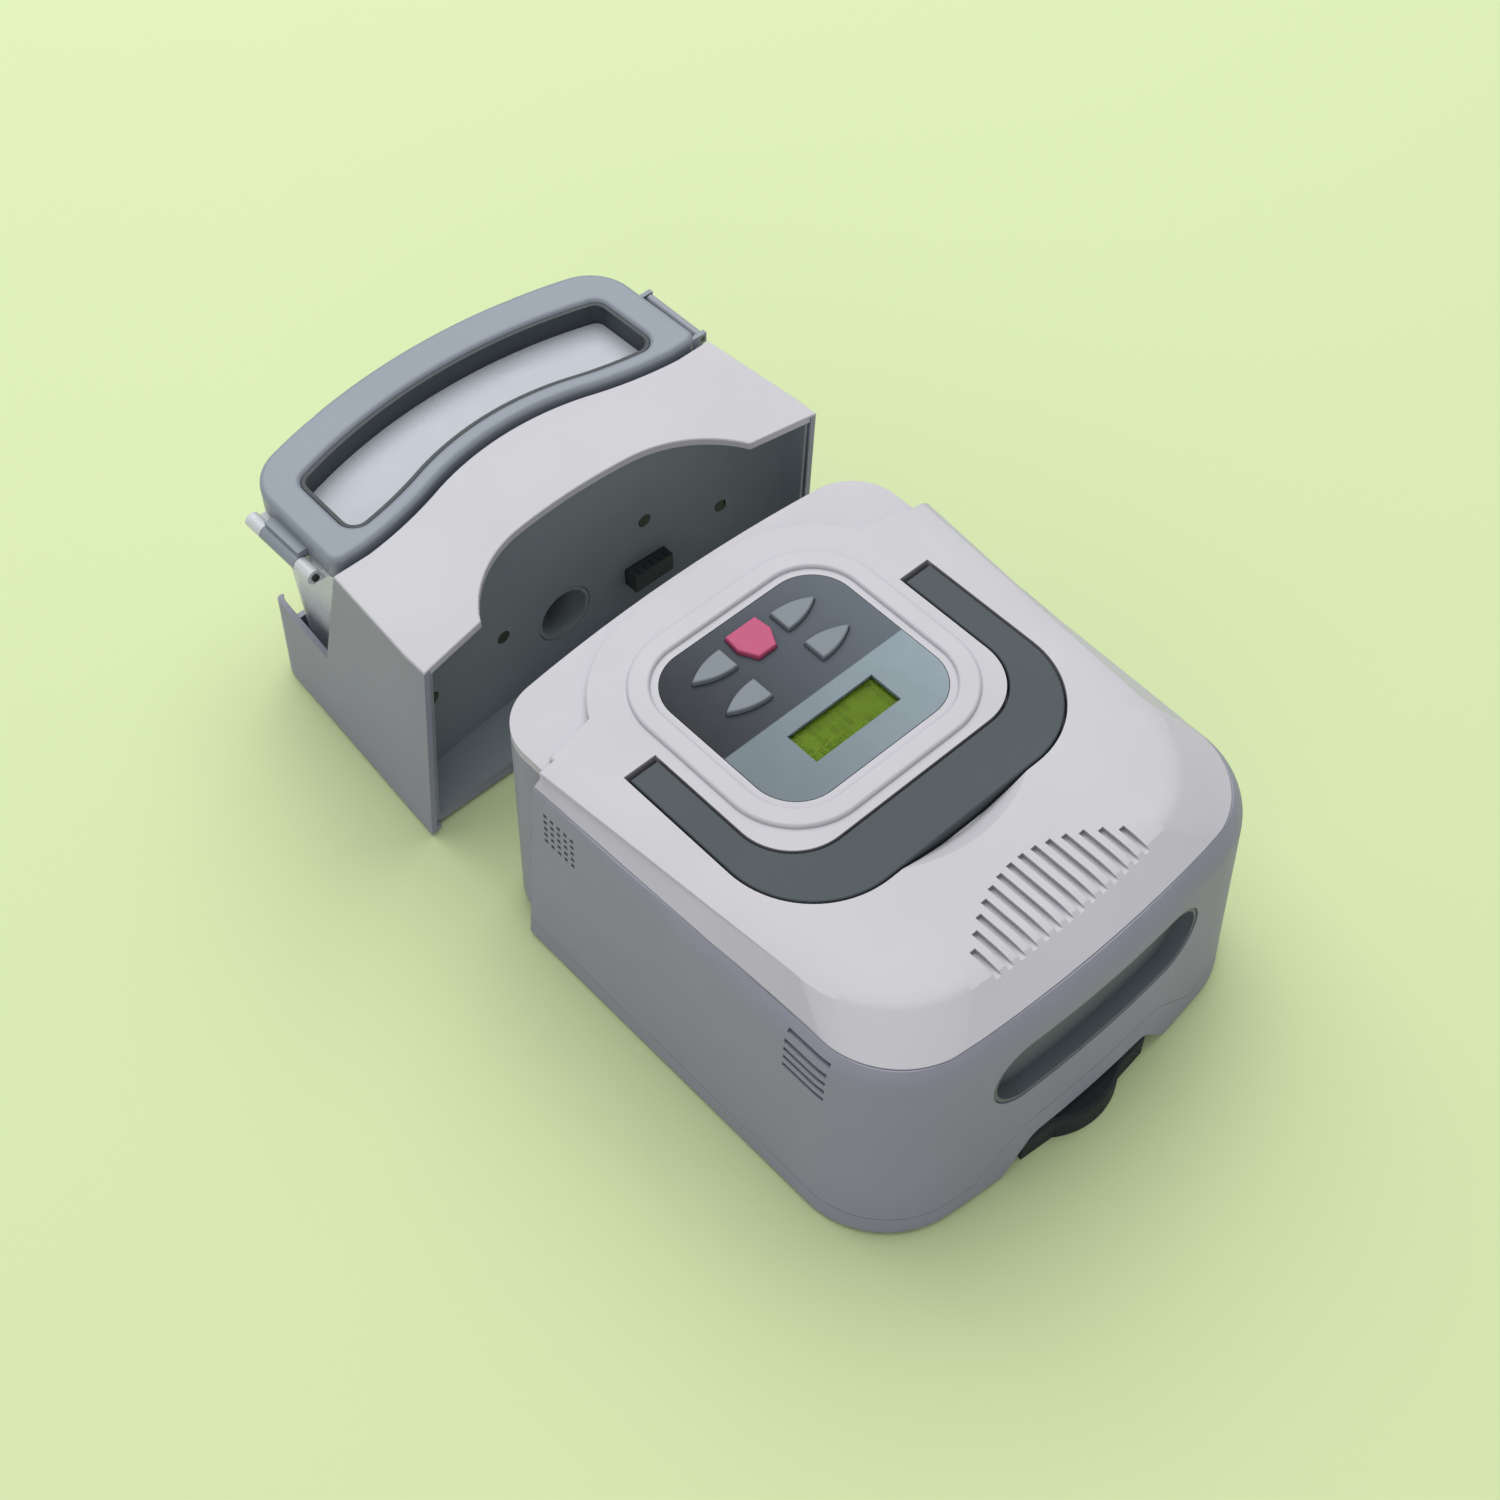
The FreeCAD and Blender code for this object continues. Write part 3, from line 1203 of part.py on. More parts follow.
def impeller():
    """Impeller with a back plate, a hub and swept blades."""
    low = s.scroll_base + s.blower_wall + 1.5
    plate = 1.5
    hub = [(s.motor_shaft + s.run_gap, low), (s.impeller_radius, low),
           (s.impeller_radius, low + plate), (7, low + plate),
           (5, low + s.impeller_height), (s.motor_shaft + s.run_gap, low + s.impeller_height)]
    body = revolved("impeller", hub)
    sketch = body.newObject("Sketcher::SketchObject", "Blade")
    sketch.AttachmentSupport = [(origin_plane(body, "XY_Plane"), "")]
    sketch.MapMode = "FlatFace"
    bind(sketch, **{"AttachmentOffset.Base.z": "Sizes.scroll_base + Sizes.blower_wall + 2"})
    tip = s.impeller_radius - 0.5
    draw(sketch, [(8, -0.6), (0.55 * tip, 2.4, "mid"), (tip, 9.4), (tip - 0.8, 10.6),
                  (0.52 * tip, 3.9, "mid"), (8, 0.6)])
    blade = body.newObject("PartDesign::Pad", "BladePad")
    blade.Profile = sketch
    bind(blade, Length="Sizes.impeller_height - 2")
    fan = body.newObject("PartDesign::PolarPattern", "Blades")
    fan.Originals = [blade]
    fan.Axis = (origin_plane(body, "Z_Axis"), [""])
    fan.Angle = 360
    bind(fan, Occurrences="Sizes.blade_count")
    body.Tip = fan
    bind(body, x="Sizes.blower_x")
    keep(body, "impeller", MAIN_Y + " + Sizes.blower_y")


def blower_mounts():
    """Four rubber bushes between the base shell's posts and the blower."""
    bushes = [cylinder("Sizes.mount_radius", "Sizes.mount_height", str(x), str(y),
                       "Sizes.scroll_base - Sizes.mount_height") for x, y in blower_feet()]
    keep(compound(*bushes), "blower_mounts", MAIN_Y)


def air_outlet_tube():
    """Tube from the blower's duct through the rear wall: the machine's air outlet."""
    start = s.duct_end - s.port_reach / 2 + 1
    end = s.case_rear + s.port_reach
    tube = port_form(s.port_radius, s.case_rear + 0.2, end)
    rim = [e for e in tube.Edges if e.BoundBox.YMin > end - 0.01 and e.BoundBox.XLength > 1]
    tube = tube.makeFillet(0.8, rim).fuse(port_form(spigot_radius(), start, s.case_rear + 1))
    keep_shape(tube.cut(port_form(s.port_bore, start - 1, end + 1)), "air_outlet_tube", MAIN_Y)


def spigot_radius():
    """Outer radius of the outlet tube's part inside the case."""
    return s.port_radius - s.spigot_step


def outlet_gasket():
    """Rubber ring round the outlet tube behind the rear wall."""
    face = s.case_rear - s.case_wall - 0.4
    ring = port_form(s.port_radius + 3, face - 2, face)
    ring = ring.cut(port_form(spigot_radius(), face - 3, face + 1))
    keep_shape(ring, "outlet_gasket", MAIN_Y)


def intake_filter():
    """Foam pad behind the left louvre."""
    near, far = s.case_wall + s.mesh_gap, s.case_wall + s.filter_sheet
    layer = case_solid(near).cut(case_solid(far))
    length = s.louvre_length + 6
    low = s.louvre_base - 3
    room = Part.makeBox(40, length, s.split_height - s.lip_depth - 0.5 - low,
                        V(-s.case_half_width - 10, -s.louvre_middle - length / 2, low))
    keep_shape(layer.common(room), "intake_filter", MAIN_Y)


def main_board():
    """Power and control board with its larger components."""
    x, y = main_board_x(), s.main_board_y
    length, width = s.main_board_length, s.main_board_width
    z = s.main_board_height
    board = Part.makeBox(length, width, s.board_sheet, V(x - length / 2, y - width / 2, z))
    top = z + s.board_sheet
    blocks = [Part.makeCylinder(6, 20, V(x - 14, y - 22, top)),
              Part.makeCylinder(6, 20, V(x - 14, y - 6, top)),
              Part.makeBox(20, 18, 14, V(x - 4, y - 30, top)),
              Part.makeBox(14, 14, 2, V(x - 6, y + 10, top)),
              Part.makeBox(4, 30, 16, V(x + 16, y - 6, top))]
    keep_shape(board.fuse(blocks), "main_board", MAIN_Y)


def power_jack():
    """Round power socket in the right side wall."""
    reach = case_side(s.jack_y, s.jack_height) - s.mesh_gap
    radius = jack_radius()
    bore = s.jack_bore
    body = doc.addObject("PartDesign::Body", "power_jack")
    sketch = body_sketch(body, "XZ_Plane", rz_lines([(0, -s.jack_depth - 4),
                                                     (radius, -s.jack_depth - 4), (radius, 0),
                                                     (bore + 0.6, 0), (bore, -0.6),
                                                     (bore, -s.jack_depth), (0, -s.jack_depth)]))
    turn = body.newObject("PartDesign::Revolution", "Turn")
    turn.Profile = sketch
    turn.ReferenceAxis = (sketch, ["V_Axis"])
    turn.Angle = 360
    body.Placement.Rotation = FreeCAD.Rotation(Z_AXIS, X_AXIS)
    bind(body, x=str(reach), z="Sizes.jack_height")
    keep(body, "power_jack", MAIN_Y + " + Sizes.jack_y")


def rz_lines(profile):
    """Closed polyline of an r-z profile."""
    points = [V(r, z, 0) for r, z in profile]
    return [Part.LineSegment(a, b) for a, b in zip(points, points[1:] + points[:1])]


def dock_socket():
    """Contact block at the inner end of the docking plug's sleeve."""
    front = s.case_rear - s.case_wall - s.plug_reach
    block = plug_form(s.slide_gap + s.case_wall - 0.6, front - 5, front)
    slots = [Part.makeBox(1.2, 4, 4, V(s.plug_x - 7.6 + 3.5 * i, front - 3, s.plug_height - 2))
             for i in range(5)]
    keep_shape(block.cut(slots), "dock_socket", MAIN_Y)


# ---------------------------------------------------------------- humidifier: cradle

def cradle_wire(inset, flare, height):
    """Plan of the humidifier's tray: straight, then narrowing to a rounded rear."""
    front, start, rear = s.seam_side - 8, s.taper_start, s.cradle_rear - inset
    half = s.case_half_width + flare - inset
    half_rear = half - s.cradle_taper * (rear - start)
    r = s.cradle_round - inset
    k = r * (1 - math.sqrt(0.5))
    return edge_wire(mirrored([(half, front), (half, start), (half_rear, rear - r),
                               (half_rear - k, rear - k, "mid"), (half_rear - r, rear)]), height)


def cradle_form(inset):
    """Outer form of the humidifier, inset by a wall, from the floor to its top."""
    top = s.top
    lean = -s.case_flare * s.dome_rise / s.deck_height
    return Part.makeLoft([cradle_wire(inset, s.case_flare, 0), cradle_wire(inset, lean, top)],
                         True, True)


def side_view():
    """Side outline of the tray and its ears, across the whole width."""
    top = s.top - s.skin_lip
    gap = s.seam_gap + s.slide_gap
    rear = s.cradle_rear
    low = s.case_bottom
    profile = [(seam_y(low) + gap, low), (seam_y(top) + gap, top), (s.wing_rear, top),
               (s.wing_rear + s.tray_lean, s.tray_front_height), (rear - 9, s.tray_height),
               (rear + 1, s.tray_height - 10), (rear + 1, s.heel), (rear - s.heel, low)]
    far = 2 * s.case_rear
    points = [V(-far, y, z) for y, z in profile]
    form = Part.Face(Part.makePolygon(points + points[:1])).extrude(V(2 * far, 0, 0))
    floor = Part.makeBox(2 * far, seam_y(low), s.case_wall, V(-far, s.shelf_front, low))
    return form.fuse(floor)


def rear_region(shift, low, high):
    """Everything behind the seam curve, between two heights."""
    far = 2 * s.case_rear
    edge = seam_edge(shift)
    outline = [(far, far + s.cradle_rear), (far, edge[0][1])] + edge
    outline += [(-far, edge[-1][1]), (-far, far + s.cradle_rear)]
    return prism(outline, low, high)


def hump_region(shift, low, high):
    """Everything in front of the white top's rear edge, between two heights."""
    far = 2 * s.case_rear
    return prism([(-far, -far), (far, -far)] + hump_edge(far, shift), low, high)


def docking_room(gap, low, high):
    """Space taken by the flow generator's rear, grown by a gap, between two heights."""
    return step_form(-gap, s.deck_height + 5).common(slab(low, high))


def heater_walls():
    """Raised frame on the tray's floor that carries the heater."""
    floor = s.case_bottom + s.case_wall - 1
    high = s.heater_top - s.heater_sheet - s.gasket_sheet
    frame = prism(heater_outline(2), floor, high)
    return frame.cut(prism(heater_outline(-3), floor - 1, high + 1))


def heater_outline(grow):
    """Rounded rectangle of the heater plate, grown by a margin."""
    half, front, rear = s.heater_half + grow, s.heater_front - grow, s.heater_rear + grow
    r = s.heater_round + grow
    k = r * (1 - math.sqrt(0.5))
    return mirrored([(half - r, front), (half - k, front + k, "mid"), (half, front + r),
                     (half, rear - r), (half - k, rear - k, "mid"), (half - r, rear)])


def humidifier_board_posts():
    """Two rows of posts under the humidifier's circuit board: (x, y)."""
    y = s.case_rear + s.liner_wall + s.slide_gap + 4
    return [(s.plug_x + 4, y), (s.plug_x + 34, y), (s.plug_x + 4, y + 9), (s.plug_x + 34, y + 9)]


def cradle_shell():
    """Grey tray: leaning side ears, floor, low rear lip and heater frame."""
    floor = s.case_bottom + s.case_wall
    outer = cradle_form(0).common(side_view())
    shell = outer.cut(cradle_form(s.case_wall).common(slab(floor, 200)))
    half = s.case_half_width - s.cradle_taper * (s.cradle_rear - s.taper_start) - s.case_wall
    mouth = Part.makeBox(2 * half, 2 * s.cradle_round, 100,
                         V(-half, s.cradle_rear - s.cradle_round - 1, s.tray_lip))
    step = docking_room(s.slide_gap, -1, 20)
    step = step.cut(Part.makeBox(4 * s.case_rear, s.case_rear, 60,
                                 V(-2 * s.case_rear, s.shelf_front, -20)))
    posts = [Part.makeCylinder(s.post_radius - 0.4, s.humidifier_board_height - floor + 1,
                               V(x, y, floor - 1)) for x, y in humidifier_board_posts()]
    shell = shell.fuse([heater_walls()] + posts).cut([mouth, step])
    keep_shape(shell, "cradle_shell", HUMIDIFIER_Y)


def cradle_top():
    """White bridge over the docking face, from the seam to the bowed rear edge."""
    top = s.top
    low = top - s.top_plate
    lip = cradle_form(0).common(slab(top - s.skin_lip, top))
    step = cradle_form(s.case_wall + s.mesh_gap).common(slab(low, top))
    form = lip.fuse(step).common(rear_region(s.slide_gap, low, top))
    form = form.common(hump_region(0, low, top))
    edges = [e for e in form.Edges if e.BoundBox.ZMin > top - 0.01]
    keep_shape(form.makeFillet(s.skin_round, edges), "cradle_top", HUMIDIFIER_Y)


def dock_screw_places():
    """Screws in the docking face: (x, height)."""
    return [(-75, 44), (-37, 47), (37, 60), (75, 44)]


def dock_face_y(x):
    """Where the docking face stands at a distance from the centre line."""
    bow = s.case_bow_rear + s.slide_gap
    y = s.case_rear + s.slide_gap + math.sqrt(bow ** 2 - x ** 2) - bow
    return y


def dock_liner():
    """Dark docking face with its shelf, screw seats and openings."""
    low = s.case_bottom + s.case_wall
    high = s.top - s.top_plate
    outer = docking_room(s.slide_gap + s.liner_wall, low, high)
    inner = docking_room(s.slide_gap, s.shelf_top, high + 1)
    wedge = side_wedge(s.seam_gap + s.slide_gap + 1, -5, s.deck_height + 10)
    liner = outer.cut(inner).cut(wedge)
    front = Part.makeBox(4 * s.case_rear, 400, s.shelf_top + 0.01,
                         V(-2 * s.case_rear, s.shelf_front - 400, 0))
    liner = liner.cut(front)
    bosses, pockets = [], []
    for x, height in dock_screw_places():
        y = dock_face_y(x)
        bosses.append(Part.makeCylinder(s.screw_head + 1.5, s.dock_boss, V(x, y + 0.5, height),
                                        Y_AXIS))
        pockets.append(Part.makeCylinder(s.screw_head + s.mesh_gap, s.screw_sink + 0.6,
                                         V(x, y - 0.5, height), Y_AXIS))
        pockets.append(Part.makeCylinder(s.screw_shank + s.run_gap, 20, V(x, y - 1, height), Y_AXIS))
    liner = liner.fuse(bosses)
    liner = liner.cut(pockets + [port_form(s.port_radius + s.socket_wall + s.mesh_gap, 90, 130),
                                 plug_form(s.mesh_gap, 90, 130)])
    keep_shape(liner, "dock_liner", HUMIDIFIER_Y)


def chamber_wall():
    """Grey wall between the electronics and the water chamber, with screw posts."""
    floor = s.case_bottom + s.case_wall
    high = s.top - s.top_plate
    sheet = s.chamber_wall_sheet
    wall = hump_region(-s.hump_step, floor, high).cut(hump_region(-s.hump_step - sheet, 0, 200))
    wall = wall.common(cradle_form(s.case_wall + s.mesh_gap))
    posts = []
    for x, height in dock_screw_places():
        start = dock_face_y(x) + 0.5 + s.dock_boss
        post = Part.makeCylinder(s.post_radius, 60, V(x, start, height), Y_AXIS)
        posts.append(post.common(hump_region(-s.hump_step - 0.5, 0, 200)))
    drills = [Part.makeCylinder(s.screw_shank + s.run_gap, s.dock_screw_length,
                                V(x, dock_face_y(x), height), Y_AXIS)
              for x, height in dock_screw_places()]
    port = Part.makeCylinder(s.port_bore, 60, V(s.port_x, s.case_rear, s.inlet_height), Y_AXIS)
    keep_shape(wall.fuse(posts).cut(drills + [port]), "chamber_wall", HUMIDIFIER_Y)


def dock_screws():
    """Four screws sunk in the docking face."""
    screws = []
    for x, height in dock_screw_places():
        y = dock_face_y(x) + 0.1
        head = Part.makeCylinder(s.screw_head, s.screw_sink, V(x, y, height), Y_AXIS)
        shank = Part.makeCylinder(s.screw_shank, s.dock_screw_length - 4, V(x, y, height), Y_AXIS)
        screws.append(head.fuse(shank).removeSplitter())
    keep_shape(Part.makeCompound(screws), "dock_screws", HUMIDIFIER_Y, False)


def inlet_duct():
    """Socket for the air port and the riser that leads up to the water chamber."""
    wall = s.socket_wall
    face = s.case_rear + s.slide_gap + s.mesh_gap / 2
    back = s.hump_crest - s.hump_step - s.chamber_wall_sheet - 1.2
    middle = s.case_rear + s.port_reach + 3
    half = s.port_radius + wall
    low, high = s.port_height - half, s.inlet_height + s.port_bore + wall
    riser = Part.makeBox(2 * half, back - middle, high - low, V(s.port_x - half, middle, low))
    room = Part.makeBox(2 * s.port_radius, back - middle - 2 * wall, high - low - 2 * wall,
                        V(s.port_x - s.port_radius, middle + wall, low + wall))
    socket = port_form(half, face, middle + 1)
    mouth = port_form(s.port_radius + s.socket_gap, face - 1, middle + wall + 1)
    outlet = Part.makeCylinder(s.port_bore, 30, V(s.port_x, back - wall - 1, s.inlet_height), Y_AXIS)
    curve = hump_region(-s.hump_step - s.chamber_wall_sheet - 1.2, 0, 200)
    duct = riser.common(curve).fuse(socket)
    keep_shape(duct.cut([room.common(hump_region(-s.hump_step - s.chamber_wall_sheet - 1.2 - wall,
                                                 0, 200)), mouth, outlet]),
               "inlet_duct", HUMIDIFIER_Y)


def duct_seal():
    """Rubber ring between the riser and the chamber wall."""
    back = s.hump_crest - s.hump_step - s.chamber_wall_sheet
    ring = Part.makeCylinder(s.port_bore + 2, 1.2, V(s.port_x, back - 1.2, s.inlet_height), Y_AXIS)
    bore = Part.makeCylinder(s.port_bore, 4, V(s.port_x, back - 3, s.inlet_height), Y_AXIS)
    behind = hump_region(-s.hump_step - s.chamber_wall_sheet, 0, 200)
    keep_shape(ring.cut(bore).common(behind), "duct_seal", HUMIDIFIER_Y)


def dock_plug():
    """Contact plug that stands out of the docking face."""
    face = dock_face_y(s.plug_x)
    plug = plug_form(0, face - s.plug_reach, face + s.liner_wall + 6)
    tabs = [Part.makeBox(1.2, 3, 0.6, V(s.plug_x - 7.6 + 3.5 * i, face - s.plug_reach + 0.6,
                                        s.plug_height + s.plug_half_height - 0.5))
            for i in range(5)]
    keep_shape(plug.cut(tabs), "dock_plug", HUMIDIFIER_Y)


def humidifier_board():
    """Heater control board behind the docking face."""
    places = humidifier_board_posts()
    x_from, y_from = places[0][0] - 4, places[0][1] - 2.5
    x_to, y_to = places[-1][0] + 4, places[-1][1] + 2.5
    z = s.humidifier_board_height
    board = Part.makeBox(x_to - x_from, y_to - y_from, s.board_sheet, V(x_from, y_from, z))
    relay = Part.makeBox(12, 8, 9, V(x_from + 4, y_from + 3, z + s.board_sheet))
    keep_shape(board.fuse(relay), "humidifier_board", HUMIDIFIER_Y)


def cradle_feet():
    """Four round feet under the tray."""
    feet = [rubber_foot(side * s.foot_x, y) for side in (-1, 1)
            for y in (s.front_foot_row, s.rear_foot_row)]
    keep_shape(Part.makeCompound(feet), "cradle_feet", HUMIDIFIER_Y, False)


def heater_gasket():
    """Silicone frame that the heater plate floats on."""
    outline = heater_outline(1.5)
    padded("heater_gasket", outline, formula("gasket_under"), "Sizes.gasket_sheet", HUMIDIFIER_Y,
           [heater_outline(-5)])


def heater_plate():
    """Metal heater plate under the water chamber."""
    padded("heater_plate", heater_outline(0), formula("heater_under"), "Sizes.heater_sheet",
           HUMIDIFIER_Y)


# ---------------------------------------------------------------- humidifier: water chamber

def lid_points(side, near, rear):
    """Plan of the lid, inset by its own margins at the ends, the front and the rear."""
    half = s.lid_half - side
    half_rear = half - s.lid_taper
    edge = hump_edge(half, s.lid_gap + near)
    corner = s.lid_shoulder - s.lid_corner
    r = s.lid_corner - (side + rear) / 2
    lean = math.radians(73)
    cx, cy = half_rear - r, s.lid_shoulder - rear - r + 0.05 * r
    end = (cx + r * math.cos(lean), cy + r * math.sin(lean))
    mid = (cx + r * math.cos(lean / 2), cy + r * math.sin(lean / 2))
    outline = list(reversed(edge))
    outline += [(half_rear, cy), (*mid, "mid"), end, (0, s.rear_reach - rear, "mid"),
                (-end[0], end[1]), (-mid[0], mid[1], "mid"), (-half_rear, cy)]
    return outline if corner > 0 else []


def lid_prism(side, near, rear, low, high, corner):
    """Upright solid over the lid's plan, its front corners rounded."""
    half = s.lid_half - side
    outline = lid_points(side, near, rear)
    tail = outline[len(hump_edge(half, 0)):]
    start = s.wing_rear - 5
    blank = prism([(-half, start), (half, start)] + tail, low, high)
    form = blank.cut(hump_region(s.lid_gap + near, low - 1, high + 1))
    upright = [e for e in form.Edges if e.BoundBox.ZLength > high - low - 0.01
               and e.BoundBox.YMax < s.hump_crest + s.lid_border_front]
    upright.sort(key=lambda e: abs(e.BoundBox.Center.x))
    return form.makeFillet(corner, upright[-2:])


def tub_form(inset, low, high):
    """Water chamber's tapering form between two heights."""
    foot, rim = s.tub_foot, s.tub_rim_top
    draft = s.tub_draft / (rim - foot)

    def wire(z):
        margin = inset + draft * (rim - z)
        return edge_wire(lid_points(margin, margin, margin), z)

    return Part.makeLoft([wire(low), wire(high)], True, True)


def water_tub():
    """Clear water chamber: walls, floor, rim, hinge knuckles, air inlet and hose outlet."""
    foot, rim = s.tub_foot, s.tub_rim_top
    outer = tub_form(s.tub_inset, foot, rim)
    room = tub_form(s.tub_inset + s.tub_wall, foot + s.tub_wall, rim + 1)
    flange = lid_prism(0, 0, 0, rim - s.tub_rim, rim, s.lid_nose)
    radius, wall = s.knuckle, s.knuckle_length
    x, z = -s.lid_axis_x, s.lid_axis_height
    knuckles = []
    for y in (s.hinge_front, s.hinge_front + s.hinge_length - wall):
        knuckles.append(Part.makeCylinder(radius, wall, V(x, y, z), Y_AXIS))
        knuckles.append(Part.makeBox(s.lid_axis_x - s.lid_half + 3, wall, radius,
                                     V(x, y, z - radius)))
    stub = Part.makeCylinder(s.port_radius, s.hose_port_end - s.lid_half + 8,
                             V(s.lid_half - 8, s.hose_port_y, s.hose_port_height), X_AXIS)
    start = s.lid_half - s.tub_inset - s.tub_wall
    collar = Part.makeCylinder(s.port_radius + s.collar_width, s.lid_half - s.collar_inset - start,
                               V(start, s.hose_port_y, s.hose_port_height), X_AXIS)
    tub = outer.fuse([flange, stub, collar] + knuckles).cut(room)
    pin = Part.makeCylinder(s.lid_pin + s.run_gap, s.hinge_length + 2,
                            V(x, s.hinge_front - 1, z), Y_AXIS)
    bore = Part.makeCylinder(s.port_bore, 40, V(s.lid_half - 14, s.hose_port_y, s.hose_port_height),
                             X_AXIS)
    inlet = Part.makeCylinder(s.port_bore, 20, V(s.port_x, s.hump_crest, s.inlet_height), Y_AXIS)
    recess = prism(heater_outline(-s.tub_plate_inset), foot - 1, foot + s.tub_plate)
    keep_shape(tub.cut([pin, bore, inlet, recess]), "water_tub", HUMIDIFIER_Y)


def tub_base_plate():
    """Metal heat-transfer plate set into the chamber's floor."""
    padded("tub_base_plate", heater_outline(-s.tub_plate_inset - s.seat_gap / 2),
           formula("tub_foot"), "Sizes.tub_plate", HUMIDIFIER_Y)


def tub_port_seal():
    """Soft ring on the chamber's air inlet that presses on the chamber wall."""
    start = s.hump_crest - s.hump_step + s.mesh_gap
    ring = Part.makeCylinder(s.port_bore + 3, 12, V(s.port_x, start, s.inlet_height), Y_AXIS)
    bore = Part.makeCylinder(s.port_bore, 14, V(s.port_x, start - 1, s.inlet_height), Y_AXIS)
    solid_tub = tub_form(s.tub_inset, s.tub_foot, s.tub_rim_top)
    keep_shape(ring.cut([bore, solid_tub]), "tub_port_seal", HUMIDIFIER_Y)


def air_baffle():
    """Channel inside the chamber that turns the incoming air down over the water."""
    half = s.port_bore + 4
    y = s.hump_crest
    low, high = s.inlet_height - 42, s.inlet_height + s.port_bore + 3
    outer = Part.makeBox(2 * half, 20, high - low, V(s.port_x - half, y, low))
    inner = Part.makeBox(2 * half - 3.2, 18.4, high - low - 1.6, V(s.port_x - half + 1.6, y, low - 1))
    room = tub_form(s.tub_inset + s.tub_wall, s.tub_foot + s.tub_wall, s.tub_rim_top)
    keep_shape(outer.cut(inner).common(room), "air_baffle", HUMIDIFIER_Y)


# ---------------------------------------------------------------- humidifier: lid

def window_margins(extra):
    """Margins of the lid's window opening: (ends, front, rear), plus extra."""
    return (s.lid_border_side + extra, s.lid_border_front + extra, s.lid_border_rear + extra)


def window_prism(extra, low, high):
    """Upright solid over the lid's window opening, inset by extra."""
    return lid_prism(*window_margins(extra), low, high, s.window_corner - extra)


def lid_frame():
    """Grey lid frame with its hinge knuckle and the latch's ears."""
    low, high = s.lid_bottom, s.lid_top
    form = lid_prism(0, 0, 0, low, high, s.lid_nose).cut(window_prism(0, low - 1, high + 1))
    rim = [e for e in form.Edges if e.BoundBox.ZMin > high - 0.01]
    form = form.makeFillet(s.lid_round, rim)
    x, z = -s.lid_axis_x, s.lid_axis_height
    gap = s.mesh_gap
    start = s.hinge_front + s.knuckle_length + gap
    length = s.hinge_length - 2 * (s.knuckle_length + gap)
    knuckle = Part.makeCylinder(s.knuckle, length, V(x, start, z), Y_AXIS)
    web = Part.makeBox(s.lid_axis_x - s.lid_half + 1.5, length, 4, V(x, start, low - 1))
    pin = Part.makeCylinder(s.lid_pin + s.run_gap, length + 2, V(x, start - 1, z), Y_AXIS)
    ears = []
    axis_x, axis_z = latch_axis()
    for y in (s.latch_front - gap - s.latch_ear, s.latch_front + s.latch_length + gap):
        ears.append(Part.makeBox(axis_x + s.latch_sheet / 2 - s.lid_half + 4, s.latch_ear, 5,
                                 V(s.lid_half - 4, y, axis_z - 2.5)))
    bore = Part.makeCylinder(s.latch_pin + s.run_gap, 2 * s.latch_length,
                             V(axis_x, s.latch_front - 10, axis_z), Y_AXIS)
    keep_shape(form.fuse([knuckle, web] + ears).cut([pin, bore]), "lid_frame", HUMIDIFIER_Y)


def lid_skirt():
    """Dark skirt round the sunken window, with the sealing flange under the frame."""
    low = s.window_height - s.skirt_ledge
    tube = window_prism(0.1, low, s.lid_top - s.skirt_drop)
    flange = lid_prism(2, 2, 2, s.tub_rim_top + 0.1, s.lid_bottom, s.lid_nose - 2)
    bore = window_prism(0.1 + s.skirt_wall, s.window_height, s.lid_top + 1)
    mouth = window_prism(0.1 + s.skirt_wall + s.skirt_ledge, low - 1, s.lid_top)
    keep_shape(tube.fuse(flange).cut([bore, mouth]), "lid_skirt", HUMIDIFIER_Y)


def lid_window():
    """Clear window sunk in the lid."""
    low = s.window_height
    pane = window_prism(0.2 + s.skirt_wall, low, low + s.window_sheet)
    keep_shape(pane, "lid_window", HUMIDIFIER_Y)


def lid_hinge_pin():
    """Steel pin through the lid's knuckles."""
    pin = cylinder("Sizes.lid_pin", "Sizes.hinge_length + 2", "-" + formula("lid_axis_x"),
                   formula("hinge_front") + " - 1", formula("lid_axis_height"), Y_AXIS)
    keep(compound(pin), "lid_hinge_pin", HUMIDIFIER_Y)


def latch_axis():
    """The latch's pin: (x, height)."""
    return s.lid_half + 0.8 + s.latch_sheet / 2, s.lid_top - 4.5


def lid_latch():
    """Latch tab on the right end of the lid, hooked under the chamber's rim."""
    x, z = latch_axis()
    inner = x - s.latch_sheet / 2
    low = s.tub_rim_top - s.tub_rim - s.latch_grip
    hook_top = s.tub_rim_top - s.tub_rim - 0.6
    y = s.latch_front
    rib = s.lid_half + s.mesh_gap
    profile = [(inner, z), (inner, hook_top), (rib, hook_top - 0.4), (rib, hook_top - 1.2),
               (inner, low), (inner + s.latch_sheet, low), (inner + s.latch_sheet, z)]
    points = [V(px, y, pz) for px, pz in profile]
    arch = Part.Arc(points[-1], V(x, y, z + s.latch_sheet / 2), points[0]).toShape()
    edges = [Part.makeLine(a, b) for a, b in zip(points, points[1:])] + [arch]
    form = Part.Face(Part.Wire(edges)).extrude(V(0, s.latch_length, 0))
    bore = Part.makeCylinder(s.latch_pin + s.run_gap, s.latch_length + 2, V(x, y - 1, z), Y_AXIS)
    return form.cut(bore)


def latch_pin():
    """Steel pin through the latch and the lid's ears."""
    x, z = latch_axis()
    reach = s.mesh_gap + s.latch_ear
    pin = cylinder("Sizes.latch_pin", "Sizes.latch_length + 2 * (Sizes.mesh_gap + Sizes.latch_ear)",
                   str(x), str(s.latch_front - reach), str(z), Y_AXIS)
    keep(compound(pin), "latch_pin", HUMIDIFIER_Y)


# ---------------------------------------------------------------- build everything

